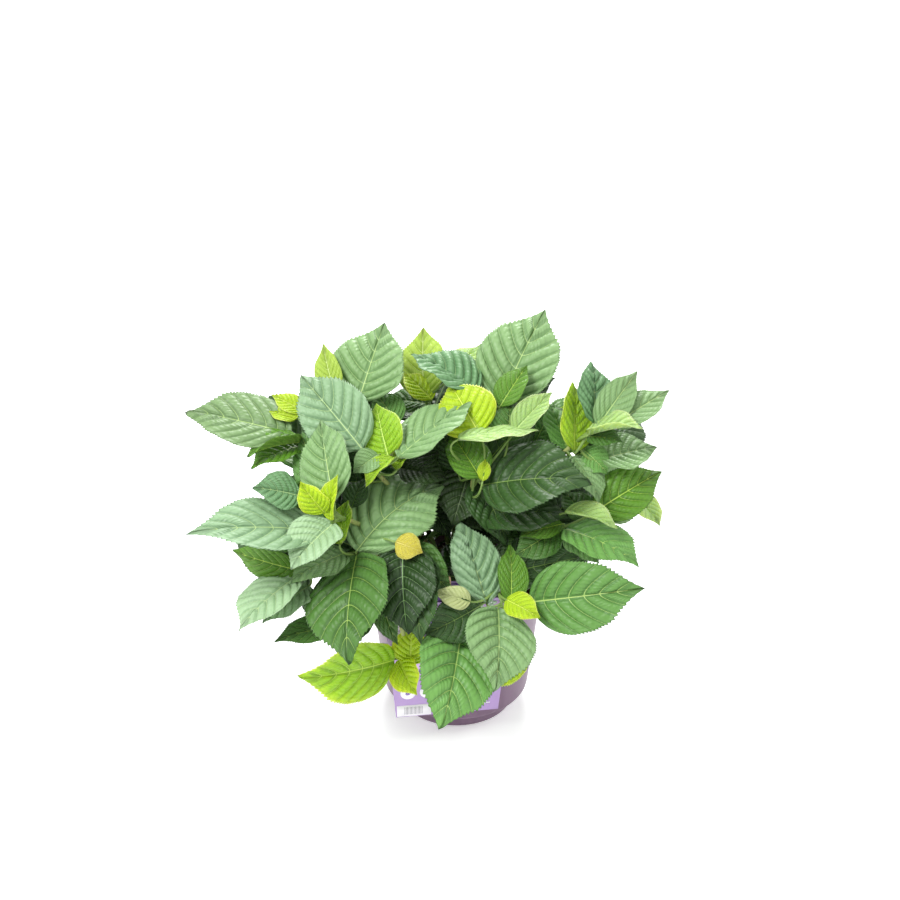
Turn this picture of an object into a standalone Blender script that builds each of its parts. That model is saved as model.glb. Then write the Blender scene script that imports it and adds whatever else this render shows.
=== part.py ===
"""Hydrangea shrub in its pot: pot, root ball, label card, peg, canes and masses of foliage.

Metres, +Z up. The origin is the middle of the pot's flat underside, and the front of the plant faces -Y.
"""
import math

import bmesh
import bpy
from mathutils import Matrix, Vector, noise

MM = 0.001
GAP = 0.3 * MM

# Pot: a 19 cm nursery pot whose wall tapers down to a narrower foot.
RIM_RADIUS = 95.0 * MM
POT_HEIGHT = 150.0 * MM
LIP_DEPTH = 9.0 * MM
LIP_WIDTH = 2.5 * MM
LIP_EDGE = 0.8 * MM
SHOULDER_RADIUS = 80.0 * MM
SHOULDER_HEIGHT = 23.0 * MM
FOOT_TOP_RADIUS = 67.0 * MM
FOOT_RADIUS = 64.0 * MM
WALL = 1.6 * MM
FLOOR = 3.0 * MM
EDGE = 1.2 * MM
TURN_STEPS = 30

# Root ball: it fills the pot. Its top is level out to SOIL_PATCH and a little uneven beyond.
SOIL_HEIGHT = 138.0 * MM
SOIL_BUMP = 2.0 * MM
SOIL_BUMPS_PER_METRE = 55.0
SOIL_PATCH = 52.0 * MM
SOIL_DROP = 1.5 * MM
SOIL_SLACK = 0.45 * MM

# Label card: it leans on the lip at the front of the pot and is held by a hooked peg.
CARD_BOTTOM = 110.0 * MM
CARD_SHOULDER = 129.0 * MM
CARD_SIDE = 123.0 * MM
CARD_ARCH = 55.0 * MM
CARD_THICKNESS = 0.8 * MM
CARD_FOOT = 37.0 * MM
CARD_TURN = 8.0
CARD_SHIFT = -22.0 * MM
CARD_LEAN = 5.2
ARCH_STEPS = 10

PEG_RADIUS = 1.5 * MM
PEG_STRAIGHT = 14.0 * MM
PEG_DROP = 10.0 * MM
PEG_HOOK = 2.6 * MM
PEG_FOOT = 84.0 * MM

# Canes: each rises from the root ball and tapers to the mass that it carries.
CANE_FOOT_RADIUS = 3.4 * MM
CANE_TIP_RADIUS = 2.2 * MM
CANE_POINTS = 5
CANE_STEPS = 40
CANE_LAST = 8.0 * MM
CANE_BEND_REACH = 0.42
CANE_BEND_RISE = 0.62
CANE_BEND_SWING = 0.6
CANE_RING_LOW = 0.32
CANE_RING_HIGH = 0.12
LOWEST_HUB = 125.0 * MM
HIGHEST_HUB = 344.0 * MM

# Foliage: every mass is an uneven core with one flat pad for each leaf that stands out of it.
CORE_FLAT = 0.8
CORE_BUMP = 0.16
CORE_BUMP_SCALE = 1.7
CORE_SEGMENTS = 10
CORE_RINGS = 7
CORE_CUT = 0.62
CORE_BLOCK = 1.8
WELD = 0.001 * MM
PAD_RINGS = 5
PAD_THICKNESS = 13.0 * MM
PAD_WIDTH = 0.62
PAD_TAPER = 0.42
PAD_ARCH = 0.1
PAD_OVERSHOOT = 4.0
POT_CLEARANCE = 3.0 * MM
CARD_CLEARANCE = 3.0 * MM
CARD_GUARD_DEPTH = 13.0 * MM
CANE_CLEARANCE = 0.45 * MM
NEIGHBOUR_GAP = 1.8 * MM

# Shoots, as seen from above: the hub's bearing in degrees, its distance from the pot's axis and its
# height in millimetres, the core's radius, how far round the cane's foot stands from the hub in degrees,
# and for each outstanding leaf its bearing, rise and reach.
SHOOTS = {
    "front_right": (-69, 129, 193, 42, 0, ((-96, -17, 101), (119, 31, 107), (12, 1, 148), (-130, -45, 134))),
    "front_left": (-139, 133, 238, 39, 0, ((-94, -37, 116), (34, 22, 112), (-160, -16, 70))),
    "low_left": (-112, 127, 128, 28, 0, ((-170, -4, 114), (-78, -28, 38), (89, 32, 44))),
    "left_front": (-143, 159, 287, 44, -15, ((-166, -1, 138), (97, 36, 104), (-128, -30, 62), (135, 2, 104))),
    "far_left": (-176, 161, 325, 40, 0, ((158, 4, 132), (-140, 6, 78), (96, 14, 84))),
    "lower_left": (-147, 184, 223, 36, -60, ((-132, -18, 92), (160, 4, 82), (-147, -58, 80))),
    "upper_left": (-157, 101, 316, 42, 0, ((129, 25, 128), (34, 14, 134), (-98, 8, 50))),
    "back_left": (165, 100, 344, 38, 0, ((77, 29, 108), (160, 18, 84))),
    "centre": (-59, 41, 311, 42, 0, ((-8, -5, 115), (-21, 36, 80), (36, 29, 106), (118, 38, 88))),
    "top_right": (26, 68, 342, 38, 0, ((70, 34, 122), (149, 14, 118), (8, 20, 70))),
    "right": (-8, 136, 340, 40, 0, ((32, 14, 92), (86, 30, 88), (46, 29, 86), (-30, 16, 66))),
    "right_low": (-29, 124, 251, 42, 0, ((27, 17, 122), (-38, -5, 90), (-100, 4, 60))),
    "back": (111, 96, 331, 40, 0, ((92, 30, 86), (49, 17, 92), (160, 8, 80))),
    "back_right": (38, 140, 278, 44, 0, ((30, -2, 116), (96, -6, 104), (-18, 6, 84))),
    "back_top": (76, 150, 282, 42, 0, ((82, -6, 104), (150, -4, 90))),
    "back_low": (86, 128, 204, 41, 15, ((96, -22, 112), (24, -10, 100), (168, -10, 98))),
    "back_left_low": (136, 150, 236, 44, 0, ((140, -12, 118), (64, -4, 90), (-172, -10, 92))),
    "left_rear": (160, 160, 268, 42, 0, ((-178, -6, 106), (118, -8, 96))),
    "right_rear": (10, 146, 232, 42, 0, ((2, -14, 104), (58, -12, 92), (-52, -16, 78))),
}

# Two shoots stand in front of the card, so their canes are led over its arch: the bend's bearing,
# distance and height.
LED_OVER = {
    "low_left": (-125, 152, 318),
    "front_right": (-68, 86, 238),
}

PLUM = (0.155, 0.078, 0.175, 1.0)
PEAT = (0.045, 0.026, 0.018, 1.0)
LILAC = (0.36, 0.20, 0.55, 1.0)
BEIGE = (0.62, 0.47, 0.30, 1.0)
CANE_GREEN = (0.22, 0.30, 0.11, 1.0)
LEAF_GREENS = ((0.070, 0.190, 0.060, 1.0), (0.100, 0.250, 0.070, 1.0), (0.060, 0.160, 0.070, 1.0))


def clear_scene():
    for old in list(bpy.data.objects):
        bpy.data.objects.remove(old, do_unlink=True)


def make_collection(name):
    collection = bpy.data.collections.new(name)
    bpy.context.scene.collection.children.link(collection)
    return collection


def make_material(name, colour, roughness, metallic=0.0):
    material = bpy.data.materials.new(name)
    material.use_nodes = True
    shader = material.node_tree.nodes["Principled BSDF"]
    shader.inputs["Base Color"].default_value = colour
    shader.inputs["Roughness"].default_value = roughness
    shader.inputs["Metallic"].default_value = metallic
    return material


def bearing(azimuth, rise=0.0):
    """Unit vector at a bearing counted from +X towards +Y, raised above the level."""
    a = math.radians(azimuth)
    r = math.radians(rise)
    return Vector((math.cos(a) * math.cos(r), math.sin(a) * math.cos(r), math.sin(r)))


def add_object(name, mesh, material, collection):
    mesh.materials.clear()
    mesh.materials.append(material)
    obj = bpy.data.objects.new(name, mesh)
    collection.objects.link(obj)
    return obj


def settle(obj):
    """Replace an object's mesh by its evaluated one, with the modifiers and any curve turned into faces."""
    graph = bpy.context.evaluated_depsgraph_get()
    mesh = bpy.data.meshes.new_from_object(obj.evaluated_get(graph))
    return mesh


def from_bmesh(bm, name):
    bmesh.ops.recalc_face_normals(bm, faces=bm.faces)
    mesh = bpy.data.meshes.new(name)
    bm.to_mesh(mesh)
    bm.free()
    return mesh


def turned(name, profile, material, collection):
    """A body turned about Z from points given as radius and height."""
    bm = bmesh.new()
    verts = [bm.verts.new((radius, 0.0, height)) for radius, height in profile]
    for first, second in zip(verts, verts[1:]):
        bm.edges.new((first, second))
    mesh = bpy.data.meshes.new(name)
    bm.to_mesh(mesh)
    bm.free()
    obj = add_object(name, mesh, material, collection)
    screw = obj.modifiers.new("Turn", "SCREW")
    screw.steps = TURN_STEPS
    screw.render_steps = TURN_STEPS
    screw.use_merge_vertices = True
    screw.merge_threshold = 0.00005
    screw.use_normal_calculate = True
    return obj


def wall_radius(height):
    """Outer radius of the pot's wall between its shoulder and its lip."""
    top = RIM_RADIUS - LIP_WIDTH
    share = (height - SHOULDER_HEIGHT) / (POT_HEIGHT - LIP_DEPTH - SHOULDER_HEIGHT)
    return SHOULDER_RADIUS + (top - SHOULDER_RADIUS) * share


def inside_profile(slack):
    """The pot's inside from its floor up to its lip, drawn in by some slack for what fills it."""
    lip = POT_HEIGHT - LIP_DEPTH
    return [
        (FOOT_RADIUS - WALL - slack, FLOOR),
        (FOOT_TOP_RADIUS - WALL - slack, SHOULDER_HEIGHT - FLOOR * 0.33 + slack),
        (SHOULDER_RADIUS - WALL * 2.0 - slack, SHOULDER_HEIGHT + WALL * 0.25 + slack),
        (SHOULDER_RADIUS - WALL - slack, SHOULDER_HEIGHT + WALL * 1.5 + slack),
        (wall_radius(lip) - WALL - slack, lip),
    ]


def build_pot(collection):
    lip = POT_HEIGHT - LIP_DEPTH
    outer = [
        (RIM_RADIUS - EDGE * 1.25, POT_HEIGHT),
        (RIM_RADIUS, POT_HEIGHT - EDGE),
        (RIM_RADIUS, lip + LIP_EDGE),
        (wall_radius(lip), lip),
        (SHOULDER_RADIUS, SHOULDER_HEIGHT),
        (SHOULDER_RADIUS - EDGE, SHOULDER_HEIGHT - EDGE * 1.5),
        (FOOT_TOP_RADIUS, SHOULDER_HEIGHT - EDGE * 2.5),
        (FOOT_RADIUS, EDGE),
        (FOOT_RADIUS - EDGE, 0.0),
        (0.0, 0.0),
    ]
    inner = [(0.0, FLOOR)] + inside_profile(0.0) + [(wall_radius(POT_HEIGHT) - WALL, POT_HEIGHT)]
    plastic = make_material("pot_plastic", PLUM, 0.45)
    return turned("pot", inner + outer, plastic, collection)


def build_root_ball(collection):
    edge = wall_radius(SOIL_HEIGHT) - WALL - SOIL_SLACK
    inside = inside_profile(SOIL_SLACK)[1:-1]
    side = [(edge, SOIL_HEIGHT - SOIL_DROP)] + inside[::-1]
    side += [(FOOT_RADIUS - WALL - SOIL_SLACK, FLOOR + GAP), (0.0, FLOOR + GAP)]
    top = [(0.0, SOIL_HEIGHT), (SOIL_PATCH, SOIL_HEIGHT)]
    top += [(edge * share, SOIL_HEIGHT) for share in (0.72, 0.87)]
    obj = turned("root_ball", top + side, make_material("peat", PEAT, 0.95), collection)
    mesh = settle(obj)
    old = obj.data
    obj.modifiers.clear()
    obj.data = mesh
    bpy.data.meshes.remove(old)
    for vert in mesh.vertices:
        radius = math.hypot(vert.co.x, vert.co.y)
        if vert.co.z > SOIL_HEIGHT - GAP and radius > SOIL_PATCH + GAP:
            vert.co.z += SOIL_BUMP * noise.noise(vert.co * SOIL_BUMPS_PER_METRE)
    return obj


def card_frame():
    """Foot point, direction across and direction up of the card's back plane, and its normal."""
    turn = math.radians(CARD_TURN)
    normal = Vector((math.sin(turn), -math.cos(turn), 0.0))
    across = Vector((math.cos(turn), math.sin(turn), 0.0))
    lean = math.radians(CARD_LEAN)
    up = Vector((0.0, 0.0, 1.0)) * math.cos(lean) + normal * math.sin(lean)
    face = normal * math.cos(lean) - Vector((0.0, 0.0, 1.0)) * math.sin(lean)
    # The back plane clears the lip's lower edge, where it comes nearest, by the usual gap.
    touch_height = POT_HEIGHT - LIP_DEPTH + LIP_EDGE
    distance = RIM_RADIUS + GAP * 1.2 - (touch_height - CARD_FOOT) * math.tan(lean)
    foot = normal * distance + across * CARD_SHIFT + Vector((0.0, 0.0, CARD_FOOT))
    return foot, across, up, face


def card_outline():
    """Half the card's outline from its bottom corner to the crown of its arch, as across and up."""
    points = [(CARD_BOTTOM * 0.5, 0.0)]
    for step in range(ARCH_STEPS + 1):
        angle = math.pi * 0.5 * step / ARCH_STEPS
        points.append((CARD_SHOULDER * 0.5 * math.cos(angle), CARD_SIDE + CARD_ARCH * math.sin(angle)))
    return points


def card_shape(name, thickness, grow, collection):
    """The card's arched outline as an extruded flat curve, standing where the card stands."""
    foot, across, up, face = card_frame()
    half = card_outline()
    outline = half + [(-x, y) for x, y in reversed(half[:-1])]
    middle_height = (CARD_SIDE + CARD_ARCH) * 0.5
    wide = 1.0 + grow * 2.0 / CARD_BOTTOM
    tall = 1.0 + grow / middle_height
    curve = bpy.data.curves.new(name, "CURVE")
    curve.dimensions = "2D"
    curve.fill_mode = "BOTH"
    curve.extrude = thickness * 0.5
    spline = curve.splines.new("POLY")
    spline.points.add(len(outline) - 1)
    for point, (x, y) in zip(spline.points, outline):
        point.co = (x * wide, middle_height + (y - middle_height) * tall, 0.0, 1.0)
    spline.use_cyclic_u = True
    obj = bpy.data.objects.new(name, curve)
    collection.objects.link(obj)
    middle = foot + face * (CARD_THICKNESS * 0.5)
    frame = Matrix((across, up, across.cross(up))).transposed().to_4x4()
    obj.matrix_world = Matrix.Translation(middle) @ frame
    return obj


def build_card(collection):
    card = card_shape("label_card", CARD_THICKNESS, 0.0, collection)
    card.data.materials.append(make_material("card", LILAC, 0.5))


def tube(name, points, radii, material, collection, resolution=2):
    """A round bar along a list of points, closed at both ends."""
    curve = bpy.data.curves.new(name, "CURVE")
    curve.dimensions = "3D"
    curve.bevel_depth = 1.0
    curve.bevel_resolution = resolution
    curve.use_fill_caps = True
    spline = curve.splines.new("POLY")
    spline.points.add(len(points) - 1)
    for point, place, radius in zip(spline.points, points, radii):
        point.co = (place.x, place.y, place.z, 1.0)
        point.radius = radius
    obj = bpy.data.objects.new(name, curve)
    collection.objects.link(obj)
    curve.materials.append(material)
    return obj


def build_peg(soil, collection, extra=0.0):
    """A peg that stands in the root ball behind the card and hooks over the top of its arch."""
    foot, across, up, face = card_frame()
    crown = foot + up * (CARD_SIDE + CARD_ARCH)
    behind = crown - face * (PEG_RADIUS + GAP)
    before = crown + face * (CARD_THICKNESS + PEG_RADIUS + GAP)
    above = PEG_RADIUS + GAP * 4.0
    outward = Vector((face.x, face.y, 0.0)).normalized()
    ground = outward * PEG_FOOT + across * CARD_SHIFT
    found, touch, normal, face_index = soil.ray_cast(Vector((ground.x, ground.y, POT_HEIGHT)), Vector((0, 0, -1)))
    ground.z = touch.z + GAP + PEG_RADIUS * math.hypot(normal.x, normal.y)
    points = [ground, behind - up * PEG_STRAIGHT, behind + up * above * 0.5]
    middle = (behind + before) * 0.5
    for step in range(1, 4):
        angle = math.pi * step / 4.0
        swing = (before - behind) * (-0.5 * math.cos(angle))
        points.append(middle + swing + up * (above * 0.5 + PEG_HOOK * math.sin(angle)))
    points += [before + up * above * 0.5, before - up * PEG_DROP]
    radii = [PEG_RADIUS + extra] * len(points)
    return tube("peg", points, radii, make_material("peg", BEIGE, 0.6), collection)


def hub_of(spec):
    azimuth, distance, height = spec[0], spec[1] * MM, spec[2] * MM
    return bearing(azimuth) * distance + Vector((0.0, 0.0, height))


def cane_path(name):
    """Points from the foot of a cane to its hub: it starts nearly upright and leans over outwards."""
    spec = SHOOTS[name]
    hub = hub_of(spec)
    share = (hub.z - LOWEST_HUB) / (HIGHEST_HUB - LOWEST_HUB)
    ring = CANE_RING_LOW + (CANE_RING_HIGH - CANE_RING_LOW) * share
    foot = bearing(spec[0] + spec[4]) * (spec[1] * MM * ring)
    foot.z = SOIL_HEIGHT + GAP
    bend = bearing(spec[0] + spec[4] * CANE_BEND_SWING) * (spec[1] * MM * CANE_BEND_REACH)
    bend.z = foot.z + (hub.z - foot.z) * CANE_BEND_RISE
    if name in LED_OVER:
        azimuth, distance, height = LED_OVER[name]
        bend = bearing(azimuth) * (distance * MM)
        bend.z = height * MM
    path = []
    for step in range(CANE_STEPS + 1):
        t = step / CANE_STEPS
        path.append(foot * (1 - t) ** 2 + bend * (2 * t * (1 - t)) + hub * t * t)
    return path


def cane_end(name):
    """Where the cane meets the flat underside of its mass, and the direction it has there."""
    path = cane_path(name)
    hub = path[-1]
    direction = (path[-1] - path[-8]).normalized()
    core = SHOOTS[name][3] * MM
    return hub - direction * (core * CORE_CUT), direction


def build_cane(name, material, collection, extra=0.0):
    end, direction = cane_end(name)
    stop = end - direction * GAP
    path = cane_path(name)
    while (path[-1] - stop).dot(direction) > -CANE_LAST:
        path.pop()
    points = []
    for step in range(CANE_POINTS - 1):
        place = path[round(step * (len(path) - 1) / (CANE_POINTS - 2))]
        points.append(place.copy())
    points[1].x = points[0].x
    points[1].y = points[0].y
    points.append(stop)
    radii = []
    for step in range(len(points)):
        share = step / (len(points) - 1)
        radii.append(CANE_FOOT_RADIUS + (CANE_TIP_RADIUS - CANE_FOOT_RADIUS) * share + extra)
    return tube("cane_" + name, points, radii, material, collection)


def build_core(spec, seed, grow):
    """The uneven body of one mass round its hub, flat underneath where its cane comes in."""
    radius = spec[3] * MM
    bm = bmesh.new()
    bmesh.ops.create_uvsphere(bm, u_segments=CORE_SEGMENTS, v_segments=CORE_RINGS, radius=1.0)
    hub = hub_of(spec)
    for vert in bm.verts:
        unit = vert.co.normalized()
        swell = 1.0 + CORE_BUMP * noise.noise(unit * CORE_BUMP_SCALE + Vector((seed * 3.1, seed * 1.7, 0.0)))
        place = unit * (radius * swell + grow)
        place.z *= CORE_FLAT
        vert.co = hub + place
    return from_bmesh(bm, "core")


def build_pad(spec, leaf, grow):
    """A flat pad in a leaf's outline that reaches from the hub to one leaf tip.

    It is a four-sided sphere laid along the leaf: its rings become the leaf's widths.
    """
    azimuth, rise, reach = leaf[0], leaf[1], leaf[2] * MM
    hub = hub_of(spec)
    along = bearing(azimuth, rise)
    side = bearing(azimuth + 90.0)
    above = along.cross(side)
    swell = 1.0 + grow * 2.0 / PAD_THICKNESS
    width = PAD_WIDTH * reach * 0.5 * swell
    thick = PAD_THICKNESS * 0.5 * swell
    bm = bmesh.new()
    bmesh.ops.create_uvsphere(bm, u_segments=4, v_segments=PAD_RINGS, radius=1.0)
    for vert in bm.verts:
        share = (1.0 - vert.co.z) * 0.5
        narrow = 1.0 - PAD_TAPER * share ** 3
        arch = PAD_ARCH * reach * 4.0 * share * (1.0 - share)
        # Only the two ends move on when the pad is swollen, so that its sides stay parallel.
        overshoot = grow * PAD_OVERSHOOT * (share * 2.0 - 1.0) if abs(vert.co.z) > 0.999 else 0.0
        centre = hub + along * (reach * share + overshoot) + above * arch
        vert.co = centre + side * (vert.co.x * width * narrow) + above * (vert.co.y * thick)
    return from_bmesh(bm, "pad")


def temporary(mesh, collection):
    obj = bpy.data.objects.new("cutter", mesh)
    collection.objects.link(obj)
    obj.hide_render = True
    obj.display_type = "WIRE"
    return obj


def combine(obj, mesh, operation, cutters):
    """Join a mesh to an object, or cut it away, and keep the result as the object's mesh."""
    cutter = temporary(mesh, cutters)
    boolean = obj.modifiers.new("Combine", "BOOLEAN")
    boolean.operation = operation
    boolean.solver = "MANIFOLD"
    boolean.object = cutter
    result = settle(obj)
    obj.modifiers.clear()
    old = obj.data
    obj.data = result
    bpy.data.meshes.remove(old)
    bpy.data.objects.remove(cutter, do_unlink=True)


def keep_largest(obj):
    """Drop the small scraps that a cut leaves beside the main body."""
    bm = bmesh.new()
    bm.from_mesh(obj.data)
    seen = set()
    islands = []
    for start in bm.verts:
        if start in seen:
            continue
        stack = [start]
        seen.add(start)
        island = []
        while stack:
            vert = stack.pop()
            island.append(vert)
            for edge in vert.link_edges:
                other = edge.other_vert(vert)
                if other not in seen:
                    seen.add(other)
                    stack.append(other)
        islands.append(island)
    islands.sort(key=len, reverse=True)
    for island in islands[1:]:
        bmesh.ops.delete(bm, geom=island, context="VERTS")
    bm.to_mesh(obj.data)
    bm.free()


def underside_block(name, grow):
    """A block whose top face is square to the cane, where the cane meets the mass."""
    end, direction = cane_end(name)
    size = SHOOTS[name][3] * MM * CORE_BLOCK - grow * 2.0
    turn = Vector((0.0, 0.0, 1.0)).rotation_difference(direction).to_matrix().to_4x4()
    middle = end - direction * (grow + size * 0.5)
    bm = bmesh.new()
    bmesh.ops.create_cube(bm, size=size, matrix=Matrix.Translation(middle) @ turn)
    return from_bmesh(bm, "block")


def whole_mass(name, seed, grow, cutters):
    """One mass before its neighbours are cut from it, as a mesh; grow swells it on every side."""
    spec = SHOOTS[name]
    core = bpy.data.objects.new("mass", build_core(spec, seed, grow))
    cutters.objects.link(core)
    for leaf in spec[5]:
        combine(core, build_pad(spec, leaf, grow), "UNION", cutters)
    combine(core, underside_block(name, grow), "DIFFERENCE", cutters)
    mesh = core.data
    bpy.data.objects.remove(core, do_unlink=True)
    return mesh


def pot_guard():
    """The pot's outside, a little larger, which no foliage enters."""
    bm = bmesh.new()
    bmesh.ops.create_cone(
        bm,
        cap_ends=True,
        segments=24,
        radius1=SHOULDER_RADIUS + POT_CLEARANCE,
        radius2=RIM_RADIUS + POT_CLEARANCE,
        depth=POT_HEIGHT + POT_CLEARANCE * 2.0,
        matrix=Matrix.Translation((0.0, 0.0, POT_HEIGHT * 0.5)),
    )
    return from_bmesh(bm, "pot_guard")


def welded_guard(obj):
    """An object made of a curve turned into a closed mesh for cutting, and the object removed."""
    mesh = settle(obj)
    mesh.transform(obj.matrix_world)
    bpy.data.objects.remove(obj, do_unlink=True)
    bm = bmesh.new()
    bm.from_mesh(mesh)
    bmesh.ops.remove_doubles(bm, verts=bm.verts, dist=WELD)
    return from_bmesh(bm, "guard")


def span(mesh):
    """The corners of a mesh's box."""
    low = Vector([min(vert.co[axis] for vert in mesh.vertices) for axis in range(3)])
    high = Vector([max(vert.co[axis] for vert in mesh.vertices) for axis in range(3)])
    return low, high


def boxes_meet(first, second):
    (low_a, high_a), (low_b, high_b) = span(first), span(second)
    return all(low_a[axis] < high_b[axis] and low_b[axis] < high_a[axis] for axis in range(3))


def build_foliage(soil, parts, cutters):
    """All masses: each gives way to the pot, the card, its peg, the canes and the masses before it."""
    plain = make_material("guard", PEAT, 1.0)
    guards = {name: welded_guard(build_cane(name, plain, cutters, CANE_CLEARANCE)) for name in SHOOTS}
    card = welded_guard(card_shape("card_guard", CARD_GUARD_DEPTH, CARD_CLEARANCE, cutters))
    peg = welded_guard(build_peg(soil, cutters, CARD_CLEARANCE * 0.5))
    fixed = [pot_guard(), card, peg]
    swollen = []
    for seed, name in enumerate(SHOOTS):
        mesh = whole_mass(name, seed, 0.0, cutters)
        colour = LEAF_GREENS[seed % len(LEAF_GREENS)]
        mass = add_object("foliage_" + name, mesh, make_material("leaf_" + name, colour, 0.5), parts)
        rivals = fixed + list(guards.values()) + swollen
        for rival in rivals:
            if boxes_meet(mass.data, rival):
                combine(mass, rival.copy(), "DIFFERENCE", cutters)
        keep_largest(mass)
        swollen.append(whole_mass(name, seed, NEIGHBOUR_GAP, cutters))


def main():
    clear_scene()
    parts = make_collection("potted_hydrangea")
    cutters = make_collection("cutters")
    build_pot(parts)
    soil = build_root_ball(parts)
    build_card(parts)
    build_peg(soil, parts)
    green = make_material("cane", CANE_GREEN, 0.6)
    for name in SHOOTS:
        build_cane(name, green, parts)
    build_foliage(soil, parts, cutters)


main()
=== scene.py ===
"""Looks of the hydrangea in its pot: toothed, veined leaves, stalks, canes, compost, pot, card and peg."""
import math
from collections import namedtuple

import bmesh
import bpy
import numpy as np
from mathutils import Matrix, Vector


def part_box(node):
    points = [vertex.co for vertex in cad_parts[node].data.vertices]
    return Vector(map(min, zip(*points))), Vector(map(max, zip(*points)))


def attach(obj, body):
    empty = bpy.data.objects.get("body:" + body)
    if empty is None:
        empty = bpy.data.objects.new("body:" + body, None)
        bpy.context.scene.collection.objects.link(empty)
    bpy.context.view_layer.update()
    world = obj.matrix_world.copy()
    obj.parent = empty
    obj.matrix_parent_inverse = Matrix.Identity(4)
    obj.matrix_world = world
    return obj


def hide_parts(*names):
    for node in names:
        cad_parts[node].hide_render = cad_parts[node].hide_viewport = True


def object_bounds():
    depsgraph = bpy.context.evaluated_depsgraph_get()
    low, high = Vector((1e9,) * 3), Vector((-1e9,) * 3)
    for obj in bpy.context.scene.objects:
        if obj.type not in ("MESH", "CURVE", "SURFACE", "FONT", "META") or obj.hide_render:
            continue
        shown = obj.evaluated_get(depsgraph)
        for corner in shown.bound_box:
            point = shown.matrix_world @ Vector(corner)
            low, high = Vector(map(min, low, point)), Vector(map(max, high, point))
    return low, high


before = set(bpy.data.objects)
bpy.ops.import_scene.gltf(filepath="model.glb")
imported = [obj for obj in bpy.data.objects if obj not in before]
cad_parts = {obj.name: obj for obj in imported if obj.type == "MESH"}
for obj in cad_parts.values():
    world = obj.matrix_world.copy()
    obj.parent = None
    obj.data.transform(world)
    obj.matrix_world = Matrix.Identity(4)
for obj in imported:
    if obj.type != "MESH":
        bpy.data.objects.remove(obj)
cad_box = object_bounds()

# Lengths are in millimetres, apart from the places of the camera, the table and the lamps, in metres.
MM = 0.001
SEED = 20

# Camera: a long lens a little over a metre away, looking down on the crown.
CAMERA_PLACE = (-0.0068, -1.372, 1.0377)
CAMERA_PITCH = 62.0
LENS = 60.0
SENSOR = 36.0
VIEW_SIDE = 900.0

# Pot and root ball, as the solids have them. The ball's side is radius and height from its foot up.
RIM_RADIUS = 95.0
POT_HEIGHT = 150.0
LIP_DEPTH = 9.0
LIP_WIDTH = 2.5
LIP_EDGE = 0.8
SHOULDER_RADIUS = 80.0
SHOULDER_HEIGHT = 23.0
FOOT_TOP_RADIUS = 67.0
FOOT_RADIUS = 64.0
WALL = 1.6
FLOOR = 3.0
EDGE = 1.2
SOIL_HEIGHT = 138.0
SOIL_RADIUS = 89.6
BALL_SIDE = (
    (61.8, 3.4),
    (64.8, 22.2),
    (76.2, 23.9),
    (77.9, 26.2),
    (81.0, 60.0),
    (88.6, 120.0),
    (89.6, 136.6),
)
BALL_CORNERS = 120
BALL_RINGS = 24
BALL_SINK = 1.6
CLOD_SIZE = 20.0
CLOD_HEIGHT = 3.0
GRAIN_SIZE = 3.6
GRAIN_HEIGHT = 1.8

# Crumbs on the compost: how many, how far out they lie, and how often one is pale grit.
CRUMBS = 900
CRUMB_REACH = 86.0
GRIT_EVERY = 9
CRUMB_SIZE = (0.8, 2.6)
GRIT_SIZE = (0.7, 1.5)
CRUMB_SUNK = 0.2
CRUMB_TILT = 0.5
CRUMB_UNEVEN = 0.25
CRUMB_LONG = (0.8, 2.2)
CRUMB_WIDE = (0.8, 1.2)
CRUMB_THICK = (0.6, 1.2)

# Label card and its peg. Prints are placed across from the card's middle and up from its foot, and a
# sticker or stripe is its place, width and height.
CARD_BOTTOM = 110.0
CARD_SHOULDER = 129.0
CARD_SIDE = 123.0
CARD_ARCH = 55.0
CARD_THICKNESS = 0.8
CARD_FOOT = 37.0
CARD_TURN = 8.0
CARD_SHIFT = -22.0
CARD_LEAN = 5.2
CARD_GAP = 0.36
CARD_ROUND = 0.15
ARCH_STEPS = 24
INK = 0.1
INK_STEP = 0.05
BLOSSOM_FIELD = (56.0, 150.0)
BLOSSOM_TRIES = 150
BLOSSOM_SIZE = (2.6, 5.2)
BLOSSOM_SPREAD = 62.0
BLOSSOM_CLEAR = 2.0
BLOSSOM_EYE = 0.16
PETAL_OUT = 0.62
PETAL_LONG = 0.6
PETAL_WIDE = 0.48
FIELD_MARGIN = 1.2
FIELD_GAP = 1.5
ARCH_MARGIN = 1.6
BAND_MIDDLE = 104.0
BAND_HEIGHT = 16.0
BAND_WIDE_AT = 98.0
DISC_HEIGHT = 33.0
DISC_FIRST = -42.0
DISC_STEP = 20.5
DISC_RADIUS = 8.2
DISC_MARK = (3.2, 2.4)
STICKER = (-35.75, 8.4, 36.5, 15.2)
STICKER_BARS = 14
BAR_FIRST = -46.0
BAR_STEP = 1.42
BAR_HEIGHT = 10.4
WIDE_BAR = 0.75
THIN_BAR = 0.45
STRIPE = (30.0, 10.6, 32.0, 1.2)
PEG_RADIUS = 1.5
PEG_STRAIGHT = 14.0
PEG_DROP = 10.0
PEG_HOOK = 2.6
PEG_FOOT = 84.0
PEG_GAP = 0.3
PEG_SHOULDER = 5.0
PEG_TURNS = 12
PEG_TIP = 0.8
PEG_NARROWED = 0.6

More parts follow.
